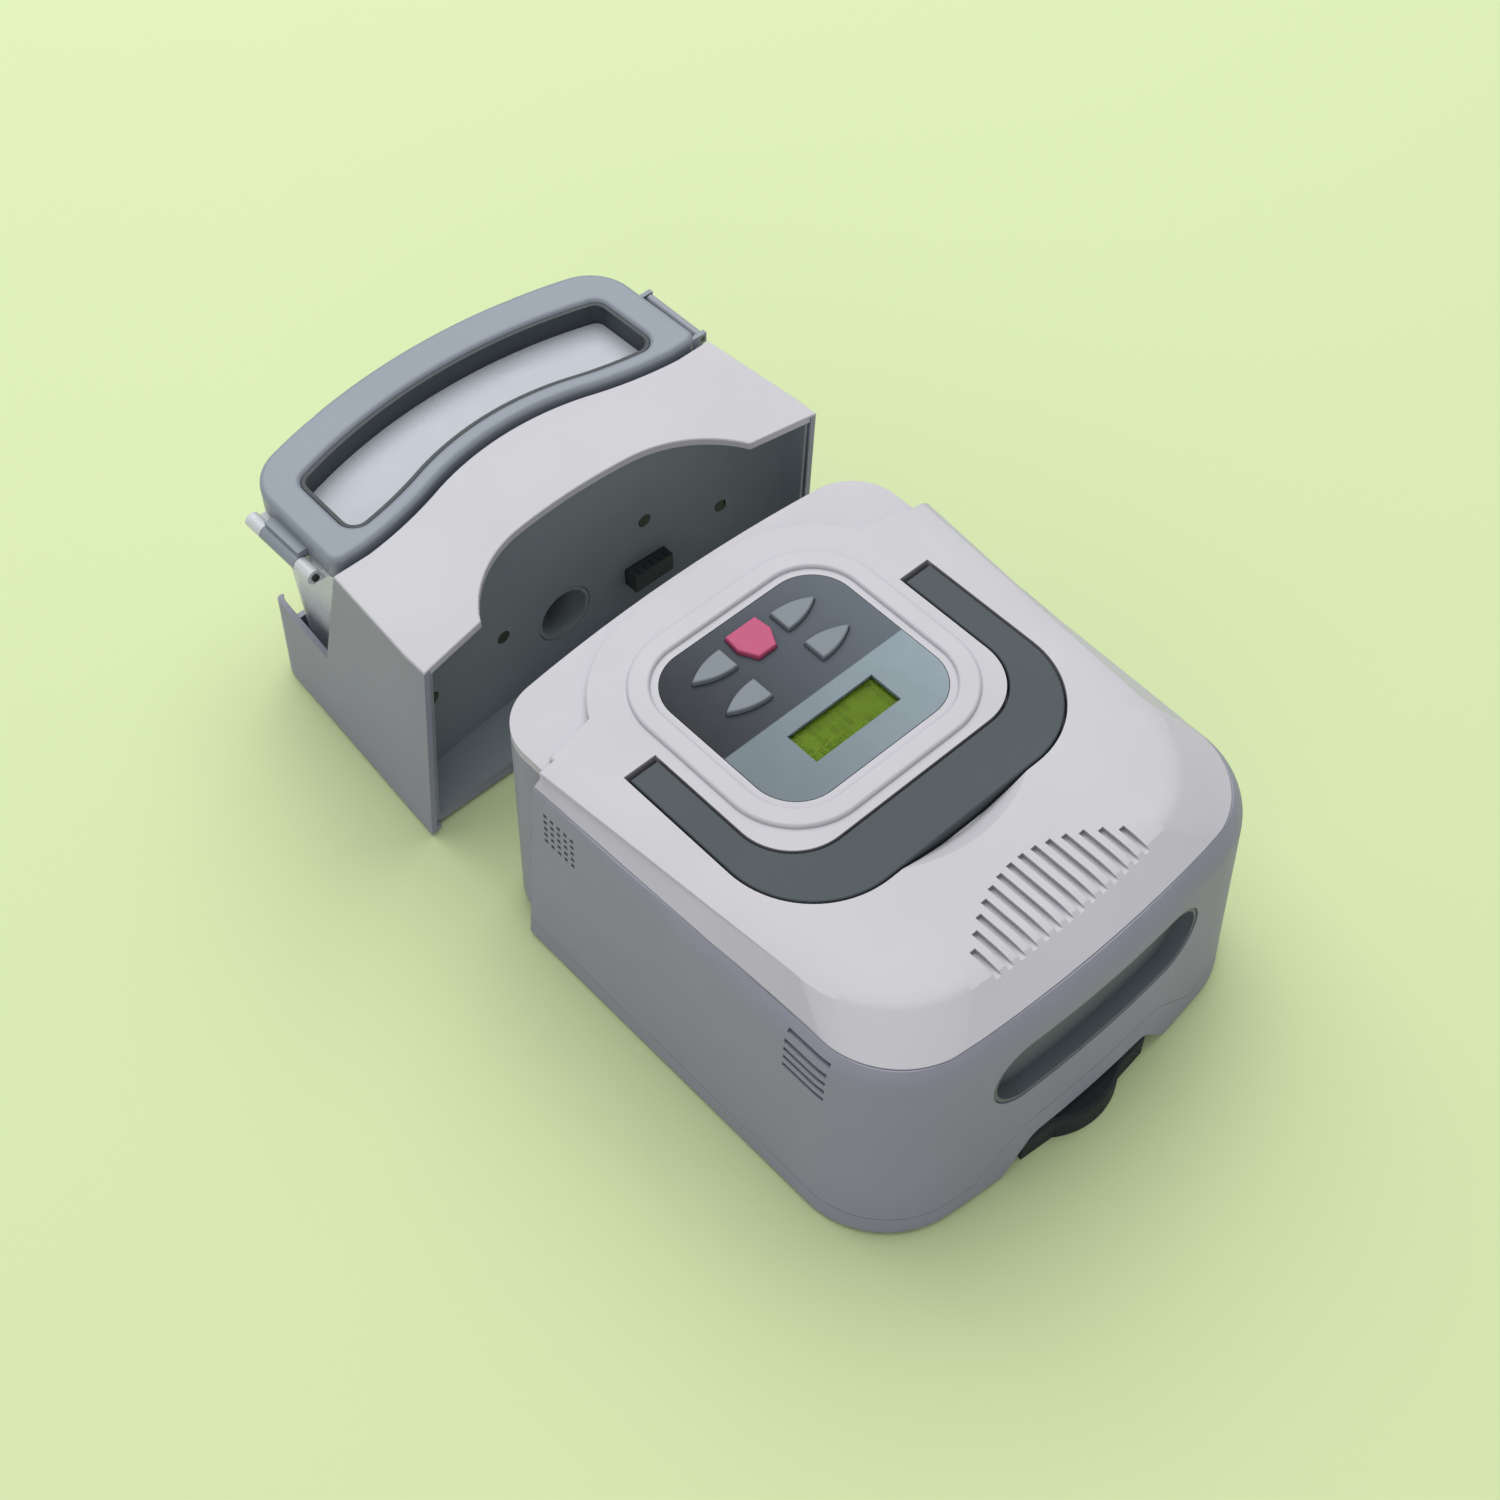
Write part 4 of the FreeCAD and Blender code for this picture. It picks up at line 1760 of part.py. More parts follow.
def build():
    """Makes every sub-part in turn."""
    top_cover()
    mid_case()
    front_insert()
    base_shell()
    case_screws()
    rubber_feet()
    front_foot()
    panel_plate()
    lcd_window()
    lcd_module()
    control_board()
    key_switches()
    for label, outline in KEYS.items():
        key(label, outline)
    handle()
    handle_pins()
    blower_housing()
    blower_motor()
    impeller()
    blower_mounts()
    air_outlet_tube()
    outlet_gasket()
    intake_filter()
    main_board()
    power_jack()
    dock_socket()
    cradle_shell()
    cradle_top()
    dock_liner()
    chamber_wall()
    dock_screws()
    inlet_duct()
    duct_seal()
    dock_plug()
    humidifier_board()
    cradle_feet()
    heater_gasket()
    heater_plate()
    water_tub()
    tub_base_plate()
    tub_port_seal()
    air_baffle()
    lid_frame()
    lid_skirt()
    lid_window()
    lid_hinge_pin()
    keep_shape(lid_latch(), "lid_latch", HUMIDIFIER_Y)
    latch_pin()


def check():
    """Stops with a message when any object failed or any sub-part is not a sound shape."""
    doc.recompute()
    for obj in doc.Objects:
        if "Invalid" in obj.State or "Error" in obj.State:
            raise RuntimeError(f"{obj.Label} failed: {obj.State}")
    for obj in parts:
        if obj.Shape.isNull() or not obj.Shape.isValid() or not obj.Shape.Solids:
            raise RuntimeError(f"{obj.Label} is not a sound solid")


def write():
    """Writes one STEP file for each sub-part."""
    os.makedirs("parts", exist_ok=True)
    for obj in parts:
        obj.Shape.exportStep(os.path.join("parts", obj.Label + ".step"))


build()
check()
write()
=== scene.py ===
"""Bench-top breathing machine beside its docking humidifier: finishes, white cover, light and camera."""
import math

import bpy
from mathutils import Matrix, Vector


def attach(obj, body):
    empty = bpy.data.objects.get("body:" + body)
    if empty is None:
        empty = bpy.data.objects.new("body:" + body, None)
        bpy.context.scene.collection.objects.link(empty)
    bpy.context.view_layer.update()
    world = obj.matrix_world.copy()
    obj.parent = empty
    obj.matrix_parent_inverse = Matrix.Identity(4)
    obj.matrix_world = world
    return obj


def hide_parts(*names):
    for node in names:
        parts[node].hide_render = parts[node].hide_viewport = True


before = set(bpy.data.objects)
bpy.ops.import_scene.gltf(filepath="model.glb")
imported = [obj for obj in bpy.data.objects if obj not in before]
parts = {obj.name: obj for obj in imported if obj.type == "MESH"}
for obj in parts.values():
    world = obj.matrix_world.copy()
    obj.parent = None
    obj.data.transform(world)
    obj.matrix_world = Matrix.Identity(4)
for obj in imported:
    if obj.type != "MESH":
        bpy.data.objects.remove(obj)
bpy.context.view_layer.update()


# ---------------------------------------------------------------- finishes

def tone(red, green, blue):
    """Screen colour of 0 to 255 as the linear colour that a shader takes."""
    def linear(value):
        value = value / 255
        return value / 12.92 if value <= 0.04045 else ((value + 0.055) / 1.055) ** 2.4
    return (linear(red), linear(green), linear(blue), 1)


def new_finish(name):
    """Empty material: (material, its node tree, its main shader)."""
    finish = bpy.data.materials.new(name)
    finish.use_nodes = True
    return finish, finish.node_tree, finish.node_tree.nodes["Principled BSDF"]


def add(tree, kind, plugs=(), **settings):
    """Puts a node in the tree; plugs are (socket, value or the output that feeds it)."""
    made = tree.nodes.new(kind)
    for key, value in settings.items():
        setattr(made, key, value)
    for socket, value in plugs:
        if isinstance(value, bpy.types.NodeSocket):
            tree.links.new(value, made.inputs[socket])
        else:
            made.inputs[socket].default_value = value
    return made


def place(tree):
    """Where a point lies on the machine, in metres."""
    return add(tree, "ShaderNodeTexCoord").outputs["Object"]


def noise(tree, spot, size, detail=2, rough=0.5):
    """Cloudy pattern whose patches are about size metres across, 0 to 1."""
    plugs = [("Vector", spot), ("Scale", 1 / size), ("Detail", detail), ("Roughness", rough)]
    return add(tree, "ShaderNodeTexNoise", plugs).outputs["Fac"]


def spread(tree, value, low, high, to_low=0, to_high=1):
    """Stretches a value from one range to another and holds it there."""
    plugs = [("Value", value), ("From Min", low), ("From Max", high),
             ("To Min", to_low), ("To Max", to_high)]
    return add(tree, "ShaderNodeMapRange", plugs).outputs["Result"]


def clouds(tree, pattern, to_low=0, to_high=1):
    """The middle of a noise pattern, where nearly all of it lies, stretched to a range."""
    return spread(tree, pattern, 0.3, 0.7, to_low, to_high)


def sums(tree, operation, *values):
    """One arithmetic step on one or two values."""
    return add(tree, "ShaderNodeMath", list(enumerate(values)), operation=operation).outputs["Value"]


def blend_colour(tree, share, first, second):
    """Second colour over the first by share."""
    plugs = [("Factor", share), ("A", first), ("B", second)]
    made = add(tree, "ShaderNodeMix", data_type="RGBA", blend_type="MIX")
    for name, value in plugs:
        socket = next(s for s in made.inputs if s.name == name and s.type in ("VALUE", "RGBA")
                      and (s.type == "RGBA") == (name != "Factor"))
        if isinstance(value, bpy.types.NodeSocket):
            tree.links.new(value, socket)
        else:
            socket.default_value = value
    return next(s for s in made.outputs if s.type == "RGBA")


def shade(colour, amount):
    """The same colour, lighter or darker."""
    return tuple(min(1, c * amount) for c in colour[:3]) + (1,)


def edges(tree, radius):
    """1 along edges that turn within radius, 0 on flat faces."""
    soft = add(tree, "ShaderNodeBevel", [("Radius", radius)], samples=4).outputs["Normal"]
    true = add(tree, "ShaderNodeNewGeometry").outputs["Normal"]
    match = add(tree, "ShaderNodeVectorMath", [(0, soft), (1, true)], operation="DOT_PRODUCT")
    return spread(tree, sums(tree, "SUBTRACT", 1.0, match.outputs["Value"]), 0.02, 0.3)


def corners(tree, reach):
    """1 deep in corners and gaps, 0 in the open."""
    open_air = add(tree, "ShaderNodeAmbientOcclusion", [("Distance", reach)], samples=6).outputs["AO"]
    return spread(tree, open_air, 0.75, 0.25)


def tint(tree, shader, colour):
    """Feeds the finish's colour."""
    tree.links.new(colour, shader.inputs["Base Color"])


def polish(tree, shader, roughness):
    """Feeds the finish's roughness."""
    tree.links.new(roughness, shader.inputs["Roughness"])


def relief(tree, shader, strength, depth, height, *under):
    """Fine relief from a height pattern, over the normal given in under, if any."""
    plugs = [("Strength", strength), ("Distance", depth), ("Height", height)]
    plugs += [("Normal", normal) for normal in under]
    bump = add(tree, "ShaderNodeBump", plugs)
    tree.links.new(bump.outputs["Normal"], shader.inputs["Normal"])


def moulded(name, colour, roughness, grain=0.0005, depth=0.00003, patch=0.03, rub=0.12, corner_shade=0.3,
            specular=0.5, edge=0.0006, reach=0.004):
    """Injection-moulded plastic: spark-eroded grain, faint flow patches, rubbed edges, painted shade in
    corners.
    """
    finish, tree, shader = new_finish(name)
    spot = place(tree)
    flow = clouds(tree, noise(tree, spot, 0.05, 3))
    fine = noise(tree, spot, grain, 3, 0.65)
    body = blend_colour(tree, flow, shade(colour, 1 - patch), shade(colour, 1 + patch))
    uneven = spread(tree, noise(tree, spot, 0.006, 4), 0.4, 0.65, 0.3, 1)
    worn = sums(tree, "MULTIPLY", edges(tree, edge), uneven)
    body = blend_colour(tree, sums(tree, "MULTIPLY", worn, rub), body, shade(colour, 1.7))
    # painted shade: the colour darkens toward a third of itself in corners and gaps, found by ambient
    # occlusion
    shade_in_corners = sums(tree, "MULTIPLY", corners(tree, reach), corner_shade)
    body = blend_colour(tree, shade_in_corners, body, shade(colour, 0.35))
    tint(tree, shader, body)
    dull = clouds(tree, fine, roughness - 0.06, roughness + 0.07)
    polish(tree, shader, sums(tree, "SUBTRACT", dull, sums(tree, "MULTIPLY", worn, 0.1)))
    shader.inputs["Specular IOR Level"].default_value = specular
    soft = add(tree, "ShaderNodeBevel", [("Radius", 0.00025)], samples=4).outputs["Normal"]
    relief(tree, shader, 0.35, depth, fine, soft)
    return finish


def rubber(name, colour):
    """Soft matt rubber: dull, faintly blotched, dusty on its edges."""
    finish, tree, shader = new_finish(name)
    spot = place(tree)
    blotch = clouds(tree, noise(tree, spot, 0.008, 4))
    body = blend_colour(tree, blotch, shade(colour, 0.85), shade(colour, 1.2))
    dusty = sums(tree, "MULTIPLY", edges(tree, 0.0005), 0.25)
    tint(tree, shader, blend_colour(tree, dusty, body, shade(colour, 2.6)))
    polish(tree, shader, clouds(tree, noise(tree, spot, 0.002), 0.68, 0.86))
    shader.inputs["Specular IOR Level"].default_value = 0.3
    relief(tree, shader, 0.4, 0.00004, noise(tree, spot, 0.0006, 3))
    return finish


def drawn_out(tree, spot, counts):
    """Place stretched so that a noise of size 1 has this many patches per metre along each axis."""
    return add(tree, "ShaderNodeMapping", [("Vector", spot), ("Scale", counts)]).outputs["Vector"]


def clear(name, colour, haze, body, roughness, bend=1.49):
    """Clear plastic: see-through, with a little milk in it, fine scratches and finger haze."""
    finish, tree, shader = new_finish(name)
    spot = place(tree)
    shader.inputs["Base Color"].default_value = colour
    shader.inputs["IOR"].default_value = bend
    shader.inputs["Transmission Weight"].default_value = body
    marks = noise(tree, spot, 0.018, 5, 0.6)
    polish(tree, shader, spread(tree, marks, 0.35, 0.75, roughness, roughness + haze))
    scratch = spread(tree, noise(tree, drawn_out(tree, spot, (40, 900, 400)), 1, 2), 0.62, 0.72)
    relief(tree, shader, 0.08, 0.00002, scratch)
    return finish


def metal(name, colour, roughness, brush=(30, 900, 30)):
    """Bare metal with drawn or brushed lines along one direction, and painted shade in its corners."""
    finish, tree, shader = new_finish(name)
    spot = place(tree)
    lines = noise(tree, drawn_out(tree, spot, brush), 1, 3)
    body = blend_colour(tree, clouds(tree, lines), shade(colour, 0.82), shade(colour, 1.12))
    # painted shade: darker in corners and gaps, found by ambient occlusion
    painted_corner_shade = sums(tree, "MULTIPLY", corners(tree, 0.002), 0.5)
    tint(tree, shader, blend_colour(tree, painted_corner_shade, body, shade(colour, 0.25)))
    shader.inputs["Metallic"].default_value = 1
    polish(tree, shader, clouds(tree, lines, roughness - 0.08, roughness + 0.1))
    relief(tree, shader, 0.25, 0.00002, lines)
    return finish


def printed_panel(name, dark, light, split, half):
    """Satin film over the keypad: dark behind split, light in front of it, both paler toward +X with a
    painted sheen, and painted shade in its corners.
    """
    finish, tree, shader = new_finish(name)
    spot = place(tree)
    apart = add(tree, "ShaderNodeSeparateXYZ", [("Vector", spot)])
    across, along = apart.outputs["X"], apart.outputs["Y"]
    behind = spread(tree, along, split - 0.0002, split + 0.0002)
    # painted sheen: both tones of the film grow paler toward +X
    painted_sheen = spread(tree, across, -half, half)
    far = blend_colour(tree, painted_sheen, shade(dark, 0.4), shade(dark, 2.6))
    near = blend_colour(tree, painted_sheen, shade(light, 0.75), shade(light, 1.25))
    shader.inputs["Specular IOR Level"].default_value = 0.15
    body = blend_colour(tree, behind, near, far)
    cloud = clouds(tree, noise(tree, spot, 0.012, 4))
    body = blend_colour(tree, sums(tree, "MULTIPLY", cloud, 0.1), body, shade(dark, 1.6))
    # painted shade: darker in corners and round the keys, found by ambient occlusion
    painted_corner_shade = sums(tree, "MULTIPLY", corners(tree, 0.0025), 0.6)
    tint(tree, shader, blend_colour(tree, painted_corner_shade, body, shade(dark, 0.4)))
    polish(tree, shader, clouds(tree, noise(tree, spot, 0.0012, 3), 0.3, 0.42))
    relief(tree, shader, 0.15, 0.00002, noise(tree, spot, 0.0008, 2))
    return finish


def display(name, ground, ink):
    """Liquid-crystal display: green ground with plain blocks, some of them darker, and painted shade round
    its edges.
    """
    finish, tree, shader = new_finish(name)
    spot = place(tree)
    plugs = [("Vector", spot), ("Scale", 100.0), ("Mortar Size", 0.035), ("Brick Width", 0.32),
             ("Row Height", 0.5), ("Color1", ground), ("Color2", ink), ("Mortar", ground)]
    blocks = add(tree, "ShaderNodeTexBrick", plugs, offset=0).outputs["Color"]
    # painted shade: the display darkens toward a dim ink where its frame closes over it, found by ambient
    # occlusion
    rim = sums(tree, "MULTIPLY", corners(tree, 0.002), 0.7)
    tint(tree, shader, blend_colour(tree, rim, blocks, shade(ink, 0.4)))
    polish(tree, shader, clouds(tree, noise(tree, spot, 0.003, 3), 0.5, 0.65))
    shader.inputs["Specular IOR Level"].default_value = 0.2
    return finish


def board(name, mask, track):
    """Circuit board: green mask with copper tracks showing through as faint lines."""
    finish, tree, shader = new_finish(name)
    spot = place(tree)
    plugs = [("Vector", spot), ("Scale", 260.0), ("Mortar Size", 0.05), ("Brick Width", 0.8),
             ("Row Height", 0.5)]
    lines = add(tree, "ShaderNodeTexBrick", plugs).outputs["Fac"]
    tint(tree, shader, blend_colour(tree, lines, mask, track))
    polish(tree, shader, clouds(tree, noise(tree, spot, 0.004, 3), 0.28, 0.5))
    relief(tree, shader, 0.3, 0.00003, lines)
    return finish


def open_foam(name, colour):
    """Open-cell filter foam, with painted shade in its pores."""
    finish, tree, shader = new_finish(name)
    spot = place(tree)
    cells = add(tree, "ShaderNodeTexVoronoi", [("Vector", spot), ("Scale", 1400.0)]).outputs["Distance"]
    # painted shade: the colour darkens toward the middle of each cell, where its pore lies
    pore_shading = spread(tree, cells, 0.1, 0.7)
    tint(tree, shader, blend_colour(tree, pore_shading, shade(colour, 0.4), shade(colour, 1.6)))
    polish(tree, shader, spread(tree, cells, 0, 1, 0.8, 1))
    relief(tree, shader, 0.8, 0.0003, cells)
    return finish


PANEL_SPLIT = -0.04225      # line along Y where the keypad's film turns from dark to light
PANEL_HALF = 0.043          # half the width of the film

cover_white = moulded("cover_white", tone(197, 196, 202), 0.42, rub=0.05, corner_shade=0.45)
case_grey = moulded("case_grey", tone(148, 150, 164), 0.5, rub=0.08, corner_shade=0.4)
dock_slate = moulded("dock_slate", tone(136, 146, 150), 0.55, rub=0.06, corner_shade=0.1)
recess_slate = moulded("recess_slate", tone(98, 107, 113), 0.5, rub=0.06, corner_shade=0.15)
handle_slate = moulded("handle_slate", tone(76, 84, 88), 0.46, grain=0.0007, depth=0.00005,
                       rub=0.1, corner_shade=0.4, specular=0.2)
lid_bluegrey = moulded("lid_bluegrey", tone(140, 149, 160), 0.36, rub=0.12, corner_shade=0.4)
skirt_black = moulded("skirt_black", tone(52, 60, 65), 0.45, rub=0.2, corner_shade=0.3)
key_red = moulded("key_red", tone(192, 84, 122), 0.4, rub=0.18, specular=0.25, edge=0.0004, reach=0.001)
key_grey = moulded("key_grey", tone(128, 137, 144), 0.42, rub=0.2, specular=0.25, edge=0.0004, reach=0.001)
latch_grey = moulded("latch_grey", tone(148, 155, 166), 0.38, rub=0.15)
blower_natural = moulded("blower_natural", tone(186, 186, 178), 0.5)
fitting_black = moulded("fitting_black", tone(48, 54, 58), 0.48, rub=0.25)
foot_rubber = rubber("foot_rubber", tone(40, 45, 49))
seal_silicone = rubber("seal_silicone", tone(96, 104, 108))
window_clear = clear("window_clear", (0.62, 0.67, 0.73, 1), 0.25, 0.2, 0.22)
tub_clear = clear("tub_clear", (0.82, 0.87, 0.90, 1), 0.22, 0.25, 0.2)
display_glass = clear("display_glass", (0.86, 0.95, 0.5, 1), 0.02, 1.0, 0.02, 1.12)
display_green = display("display_green", tone(172, 198, 92), tone(122, 150, 62))
screw_steel = metal("screw_steel", (0.09, 0.095, 0.10, 1), 0.42)
plate_brushed = metal("plate_brushed", (0.72, 0.73, 0.74, 1), 0.32)
motor_can = metal("motor_can", (0.55, 0.55, 0.56, 1), 0.38, (30, 30, 900))
board_green = board("board_green", (0.02, 0.12, 0.05, 1), (0.05, 0.25, 0.09, 1))
filter_foam = open_foam("filter_foam", tone(70, 72, 75))
panel_film = printed_panel("panel_film", tone(60, 66, 73), tone(132, 146, 154), PANEL_SPLIT, PANEL_HALF)

finish_of = {
    cover_white: ["top_cover", "cradle_top"],
    case_grey: ["mid_case", "base_shell", "cradle_shell", "chamber_wall"],
    dock_slate: ["dock_liner", "air_outlet_tube", "inlet_duct"],
    recess_slate: ["front_insert"],
    handle_slate: ["handle"],
    lid_bluegrey: ["lid_frame"],
    skirt_black: ["lid_skirt"],
    key_red: ["power_key"],
    key_grey: ["left_rear_key", "right_rear_key", "left_front_key", "right_front_key"],
    latch_grey: ["lid_latch"],
    blower_natural: ["blower_housing", "impeller"],
    fitting_black: ["power_jack", "dock_socket", "dock_plug", "key_switches"],
    foot_rubber: ["rubber_feet", "front_foot", "cradle_feet"],
    seal_silicone: ["outlet_gasket", "duct_seal", "heater_gasket", "tub_port_seal", "blower_mounts"],
    window_clear: ["lid_window"],
    tub_clear: ["water_tub", "air_baffle"],
    display_glass: ["lcd_window"],
    display_green: ["lcd_module"],
    screw_steel: ["case_screws", "dock_screws", "handle_pins", "lid_hinge_pin", "latch_pin"],
    plate_brushed: ["heater_plate", "tub_base_plate"],
    motor_can: ["blower_motor"],
    board_green: ["control_board", "main_board", "humidifier_board"],
    filter_foam: ["intake_filter"],
    panel_film: ["panel_plate"],
}
for finish, names in finish_of.items():
    for name in names:
        for slot in parts[name].material_slots:
            slot.material = finish


# ---------------------------------------------------------------- white cover with its sloping edge

MODULE_MIDDLE = -0.07125    # middle of the flow generator along Y
TOP_HEIGHT = 0.107          # flat top of the cover
CREASE_HEIGHT = 0.106       # crease round the top
JOINT_HEIGHT = 0.099        # joint between cover and grey case
CUTTER_TOP = 0.112          # above the whole cover
CREASE_LEAN = 0.015         # how far the crease has spread outward at the rear
STEP_START = 0.0683         # where the docking step begins, from MODULE_MIDDLE
BOW_RADIUS = 0.6            # plan radius of the front
CORNER_SLOPE = 0.05         # how fast the front still falls back in its corners
CORNER_STEPS = 32           # segments round each front corner
FRONT_CUTS = 15             # points along the bow
SAME_HEIGHT = 0.000005      # points closer than this lie on one outline
SMOOTH_BELOW = 15           # degrees; sharper edges stay sharp
DOUBLED = 0.000001          # points closer than this are one
ON_THE_FRONT = 0.0001       # points closer than this to the front line lie on it


def only(obj):
    """Selects this object alone and makes it the active one."""
    bpy.ops.object.select_all(action="DESELECT")
    obj.select_set(True)
    bpy.context.view_layer.objects.active = obj


def pick(obj, mode, wanted):
    """In edit mode, selects the points (VERT) or edges (EDGE) that wanted says yes to."""
    bpy.ops.mesh.select_mode(type=mode)
    bpy.ops.mesh.select_all(action="DESELECT")
    bpy.ops.object.mode_set(mode="OBJECT")
    items = obj.data.vertices if mode == "VERT" else obj.data.edges
    for item in items:
        item.select = wanted(item)
    bpy.ops.object.mode_set(mode="EDIT")


def own_copy(node, name):
    """A copy of a CAD piece's mesh to work on, its doubled points merged."""
    made = parts[node].copy()
    made.data = parts[node].data.copy()
    made.name = made.data.name = name
    made.parent = None
    bpy.context.scene.collection.objects.link(made)
    only(made)
    bpy.ops.mesh.customdata_custom_splitnormals_clear()
    bpy.ops.object.mode_set(mode="EDIT")
    bpy.ops.mesh.select_all(action="SELECT")
    bpy.ops.mesh.remove_doubles(threshold=DOUBLED)
    bpy.ops.object.mode_set(mode="OBJECT")
    return made


def combine(obj, tool, operation):
    """Applies a boolean with tool, then deletes the tool."""
    only(obj)
    step = obj.modifiers.new("shape", "BOOLEAN")
    step.operation = operation
    step.solver = "EXACT"
    step.object = tool
    bpy.ops.object.modifier_apply(modifier=step.name)
    only(tool)
    bpy.ops.object.delete()


def cover_outline(half, front, corner, height, lean, rear=0.14):
    """One closed outline of the cover's plan, its measures taken from MODULE_MIDDLE.

    The front is bowed, its corners are round, and the sides lean outward to the rear.
    """
    middle = MODULE_MIDDLE + (rear - front) / 2
    bpy.ops.mesh.primitive_plane_add(size=1, location=(0, middle, height))
    loop = bpy.context.object
    bpy.ops.object.mode_set(mode="EDIT")
    bpy.ops.transform.resize(value=(2 * half, front + rear, 1), center_override=(0, middle, height))
    front_line = MODULE_MIDDLE - front
    bpy.ops.object.mode_set(mode="OBJECT")
    bpy.ops.object.transform_apply(location=True, rotation=True, scale=True)
    bpy.ops.object.mode_set(mode="EDIT")
    pick(loop, "VERT", lambda v: v.co.y < front_line + ON_THE_FRONT)
    bpy.ops.mesh.bevel(offset=corner, segments=CORNER_STEPS, profile=0.5, affect="VERTICES")
    bpy.ops.mesh.select_all(action="SELECT")
    bpy.ops.mesh.delete(type="ONLY_FACE")
    points = loop.data.vertices
    pick(loop, "EDGE", lambda e: all(points[i].co.y < front_line + ON_THE_FRONT for i in e.vertices))
    bpy.ops.mesh.subdivide(number_cuts=FRONT_CUTS)
    straight = half - corner
    bpy.ops.object.mode_set(mode="OBJECT")
    moves = []
    for point in loop.data.vertices:
        reach = abs(point.co.x)
        if point.co.y < MODULE_MIDDLE:
            bow = min(reach, straight) ** 2 / (2 * BOW_RADIUS)
            fall = CORNER_SLOPE * max(0, reach - straight)
            moves.append((point.index, (0, bow + fall, 0)))
        else:
            moves.append((point.index, (math.copysign(lean, point.co.x), 0, 0)))
    bpy.ops.object.mode_set(mode="EDIT")
    for index, move in moves:
        pick(loop, "VERT", lambda v: v.index == index)
        bpy.ops.transform.translate(value=move)
    bpy.ops.object.mode_set(mode="OBJECT")
    return loop


def lofted(outlines):
    """Solid through closed outlines stacked from low to high."""
    heights = [loop.data.vertices[0].co.z for loop in outlines]
    only(outlines[0])
    for loop in outlines[1:]:
        loop.select_set(True)
    bpy.ops.object.join()
    form = bpy.context.object
    bpy.ops.object.mode_set(mode="EDIT")
    for low, high in zip(heights, heights[1:]):
        pick(form, "VERT", lambda v: min(abs(v.co.z - low), abs(v.co.z - high)) < SAME_HEIGHT)
        bpy.ops.mesh.select_mode(type="EDGE")
        bpy.ops.mesh.bridge_edge_loops()
    for height in (heights[0], heights[-1]):
        pick(form, "VERT", lambda v: abs(v.co.z - height) < SAME_HEIGHT)
        bpy.ops.mesh.select_mode(type="EDGE")
        bpy.ops.mesh.edge_face_add()
    bpy.ops.mesh.select_all(action="SELECT")
    bpy.ops.mesh.normals_make_consistent(inside=False)
    bpy.ops.object.mode_set(mode="OBJECT")
    return form


def cover_core():
    """Solid whose sides are the cover's sloping edge, its crease and the soft roll inside it."""
    roll_foot = CREASE_HEIGHT + 0.0006
    return lofted([
        cover_outline(half=0.112, front=0.128, corner=0.036, height=0.080, lean=0),
        cover_outline(half=0.0917, front=0.1077, corner=0.033, height=JOINT_HEIGHT, lean=0.006),
        cover_outline(half=0.0838, front=0.0945, corner=0.040, height=CREASE_HEIGHT, lean=CREASE_LEAN),
        cover_outline(half=0.0808, front=0.0915, corner=0.037, height=roll_foot, lean=CREASE_LEAN),
        cover_outline(half=0.0768, front=0.0875, corner=0.033, height=TOP_HEIGHT, lean=CREASE_LEAN),
        cover_outline(half=0.0767, front=0.0874, corner=0.033, height=CUTTER_TOP, lean=CREASE_LEAN),
    ])


def cover_crown():
    """Ring of material along the cover's rim for the sloping edge and its crease to be cut from."""
    def rim(height):
        return cover_outline(half=0.097, front=0.109, corner=0.033, height=height, lean=0, rear=STEP_START)

    def inside(height):
        return cover_outline(half=0.0776, front=0.0883, corner=0.0338, height=height, lean=0.013)

    crown = lofted([rim(JOINT_HEIGHT + 0.0003), rim(TOP_HEIGHT - 0.00002)])
    combine(crown, lofted([inside(0.090), inside(0.110)]), "DIFFERENCE")
    return crown


def block(size, middle):
    """Rectangular block of this size about its middle."""
    bpy.ops.mesh.primitive_cube_add(size=1, location=middle)
    made = bpy.context.object
    bpy.ops.object.mode_set(mode="EDIT")
    bpy.ops.transform.resize(value=size, center_override=middle)
    bpy.ops.object.mode_set(mode="OBJECT")
    bpy.ops.object.transform_apply(location=True, rotation=True, scale=True)
    return made


def grille_places():
    """Grooves in the cover's front: (x, y of the rear end from MODULE_MIDDLE)."""
    count, half, middle_end, sag = 14, 0.036, 0.0675, 0.0155
    spots = [-half + 2 * half * n / (count - 1) for n in range(count)]
    return [(x, -middle_end - sag * (x / half) ** 2) for x in spots]


def grille_floor():
    """Plate that closes the grille's slits a little below the top, so that they are grooves."""
    width, length, thickness = 0.0776, 0.0252, 0.0012
    ahead_of_middle, middle_height, rounding = 0.0789, 0.1047, 0.012
    plate = block((width, length, thickness), (0, MODULE_MIDDLE - ahead_of_middle, middle_height))
    bpy.ops.object.mode_set(mode="EDIT")
    points = plate.data.vertices

    def rear_corner(edge):
        first, last = (points[i].co for i in edge.vertices)
        upright = abs(first.z - last.z) > thickness / 2
        return upright and first.y > MODULE_MIDDLE - ahead_of_middle

    pick(plate, "EDGE", rear_corner)
    bpy.ops.mesh.bevel(offset=rounding, segments=6, affect="EDGES")
    bpy.ops.object.mode_set(mode="OBJECT")
    return plate


def groove_cutter():
    """Row of bars, one along each groove, that run out over the crease at the front."""
    width, height, middle_height = 0.0025, 0.006, 0.1081
    past_crease, past_rear = 0.0971, 0.0002
    bars = []
    for x, rear in grille_places():
        length = rear + past_crease
        middle = (x, MODULE_MIDDLE + rear - length / 2 + past_rear, middle_height)
        bars.append(block((width, length, height), middle))
    only(bars[0])
    for bar in bars[1:]:
        bar.select_set(True)
    bpy.ops.object.join()
    return bpy.context.object


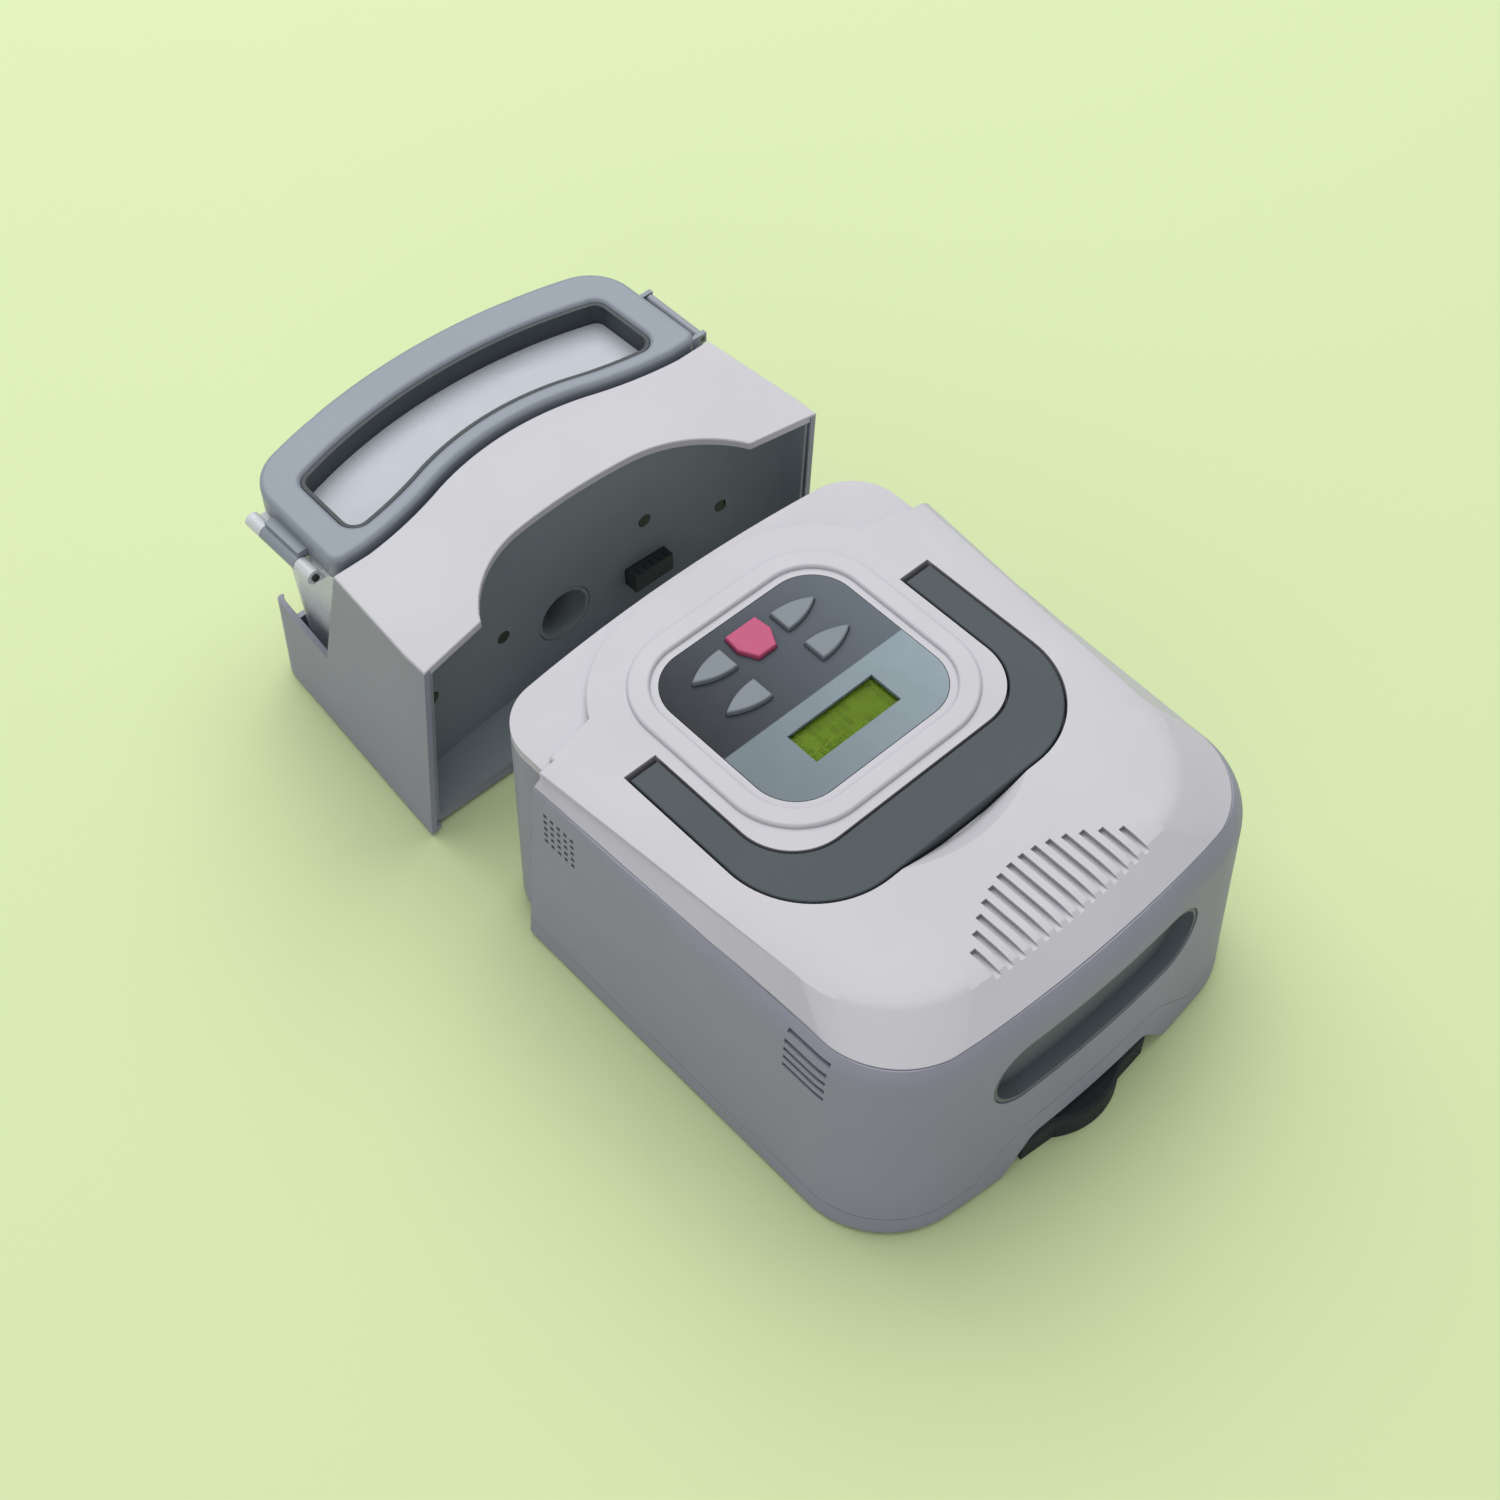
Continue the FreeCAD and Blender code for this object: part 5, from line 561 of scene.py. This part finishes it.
white_cover = own_copy("top_cover", "white_cover")
combine(white_cover, cover_crown(), "UNION")
combine(white_cover, cover_core(), "INTERSECT")
combine(white_cover, grille_floor(), "UNION")
combine(white_cover, groove_cutter(), "DIFFERENCE")
only(white_cover)
bpy.ops.object.shade_smooth_by_angle(angle=math.radians(SMOOTH_BELOW), keep_sharp_edges=False)
even = white_cover.modifiers.new("even", "WEIGHTED_NORMAL")
even.keep_sharp = True
bpy.ops.object.modifier_apply(modifier=even.name)
white_cover.data.materials.clear()
white_cover.data.materials.append(cover_white)
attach(white_cover, "flow_generator")
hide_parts("top_cover")


# ---------------------------------------------------------------- table and light

def floor_finish():
    """Table top that looks pale green, and that lights the machine with plain grey."""
    finish, tree, shader = new_finish("table_top")
    sight = add(tree, "ShaderNodeLightPath")
    seen = sums(tree, "MAXIMUM", sight.outputs["Is Camera Ray"], sight.outputs["Is Transmission Ray"])
    seen = sums(tree, "MAXIMUM", seen, sight.outputs["Is Glossy Ray"])
    tint(tree, shader, blend_colour(tree, seen, (0.6, 0.6, 0.6, 1), tone(217, 234, 180)))
    shader.inputs["Roughness"].default_value = 0.9
    shader.inputs["Specular IOR Level"].default_value = 0.1
    return finish


def softbox(name, spot, aim, width, height, watts):
    """Rectangular studio lamp that points at aim."""
    lamp = bpy.data.lights.new(name, "AREA")
    lamp.shape = "RECTANGLE"
    lamp.size = width
    lamp.size_y = height
    lamp.energy = watts
    holder = bpy.data.objects.new(name, lamp)
    bpy.context.scene.collection.objects.link(holder)
    holder.location = spot
    holder.rotation_euler = (Vector(aim) - Vector(spot)).to_track_quat("-Z", "Y").to_euler()


TABLE_WIDTH = 8
bpy.ops.object.select_all(action="DESELECT")
bpy.ops.mesh.primitive_plane_add(size=TABLE_WIDTH, location=(0, 0, 0))
table = bpy.context.object
table.name = "table_top"
table.data.materials.append(floor_finish())

world = bpy.data.worlds.new("studio")
bpy.context.scene.world = world
world.use_nodes = True
sky = world.node_tree.nodes["Background"]
sky.inputs["Color"].default_value = (1, 1, 1, 1)
sky.inputs["Strength"].default_value = 0.42

softbox("ceiling", (0.55, 1.0, 2.3), (0.1, 0.05, 0), 3.2, 3.2, 62)
softbox("room_side", (-1.6, -1.2, 0.9), (0, 0, 0.05), 1.6, 1.0, 5)


# ---------------------------------------------------------------- camera

camera_lens = bpy.data.cameras.new("camera")
camera = bpy.data.objects.new("camera", camera_lens)
bpy.context.scene.collection.objects.link(camera)
camera_lens.lens = 55.22
camera_lens.sensor_width = 36
camera_lens.sensor_fit = "HORIZONTAL"
camera_lens.clip_start = 0.05
camera_lens.clip_end = 50
looked_at = Vector((0.02072, 0.01409, 0))
turn, rise, away = math.radians(-42.60), math.radians(52.98), 0.9292
toward_camera = Vector((math.sin(turn) * math.cos(rise), -math.cos(turn) * math.cos(rise), math.sin(rise)))
camera.location = looked_at + toward_camera * away
camera.rotation_euler = (-toward_camera).to_track_quat("-Z", "Y").to_euler()
bpy.context.scene.camera = camera

bpy.context.scene.view_settings.view_transform = "Standard"
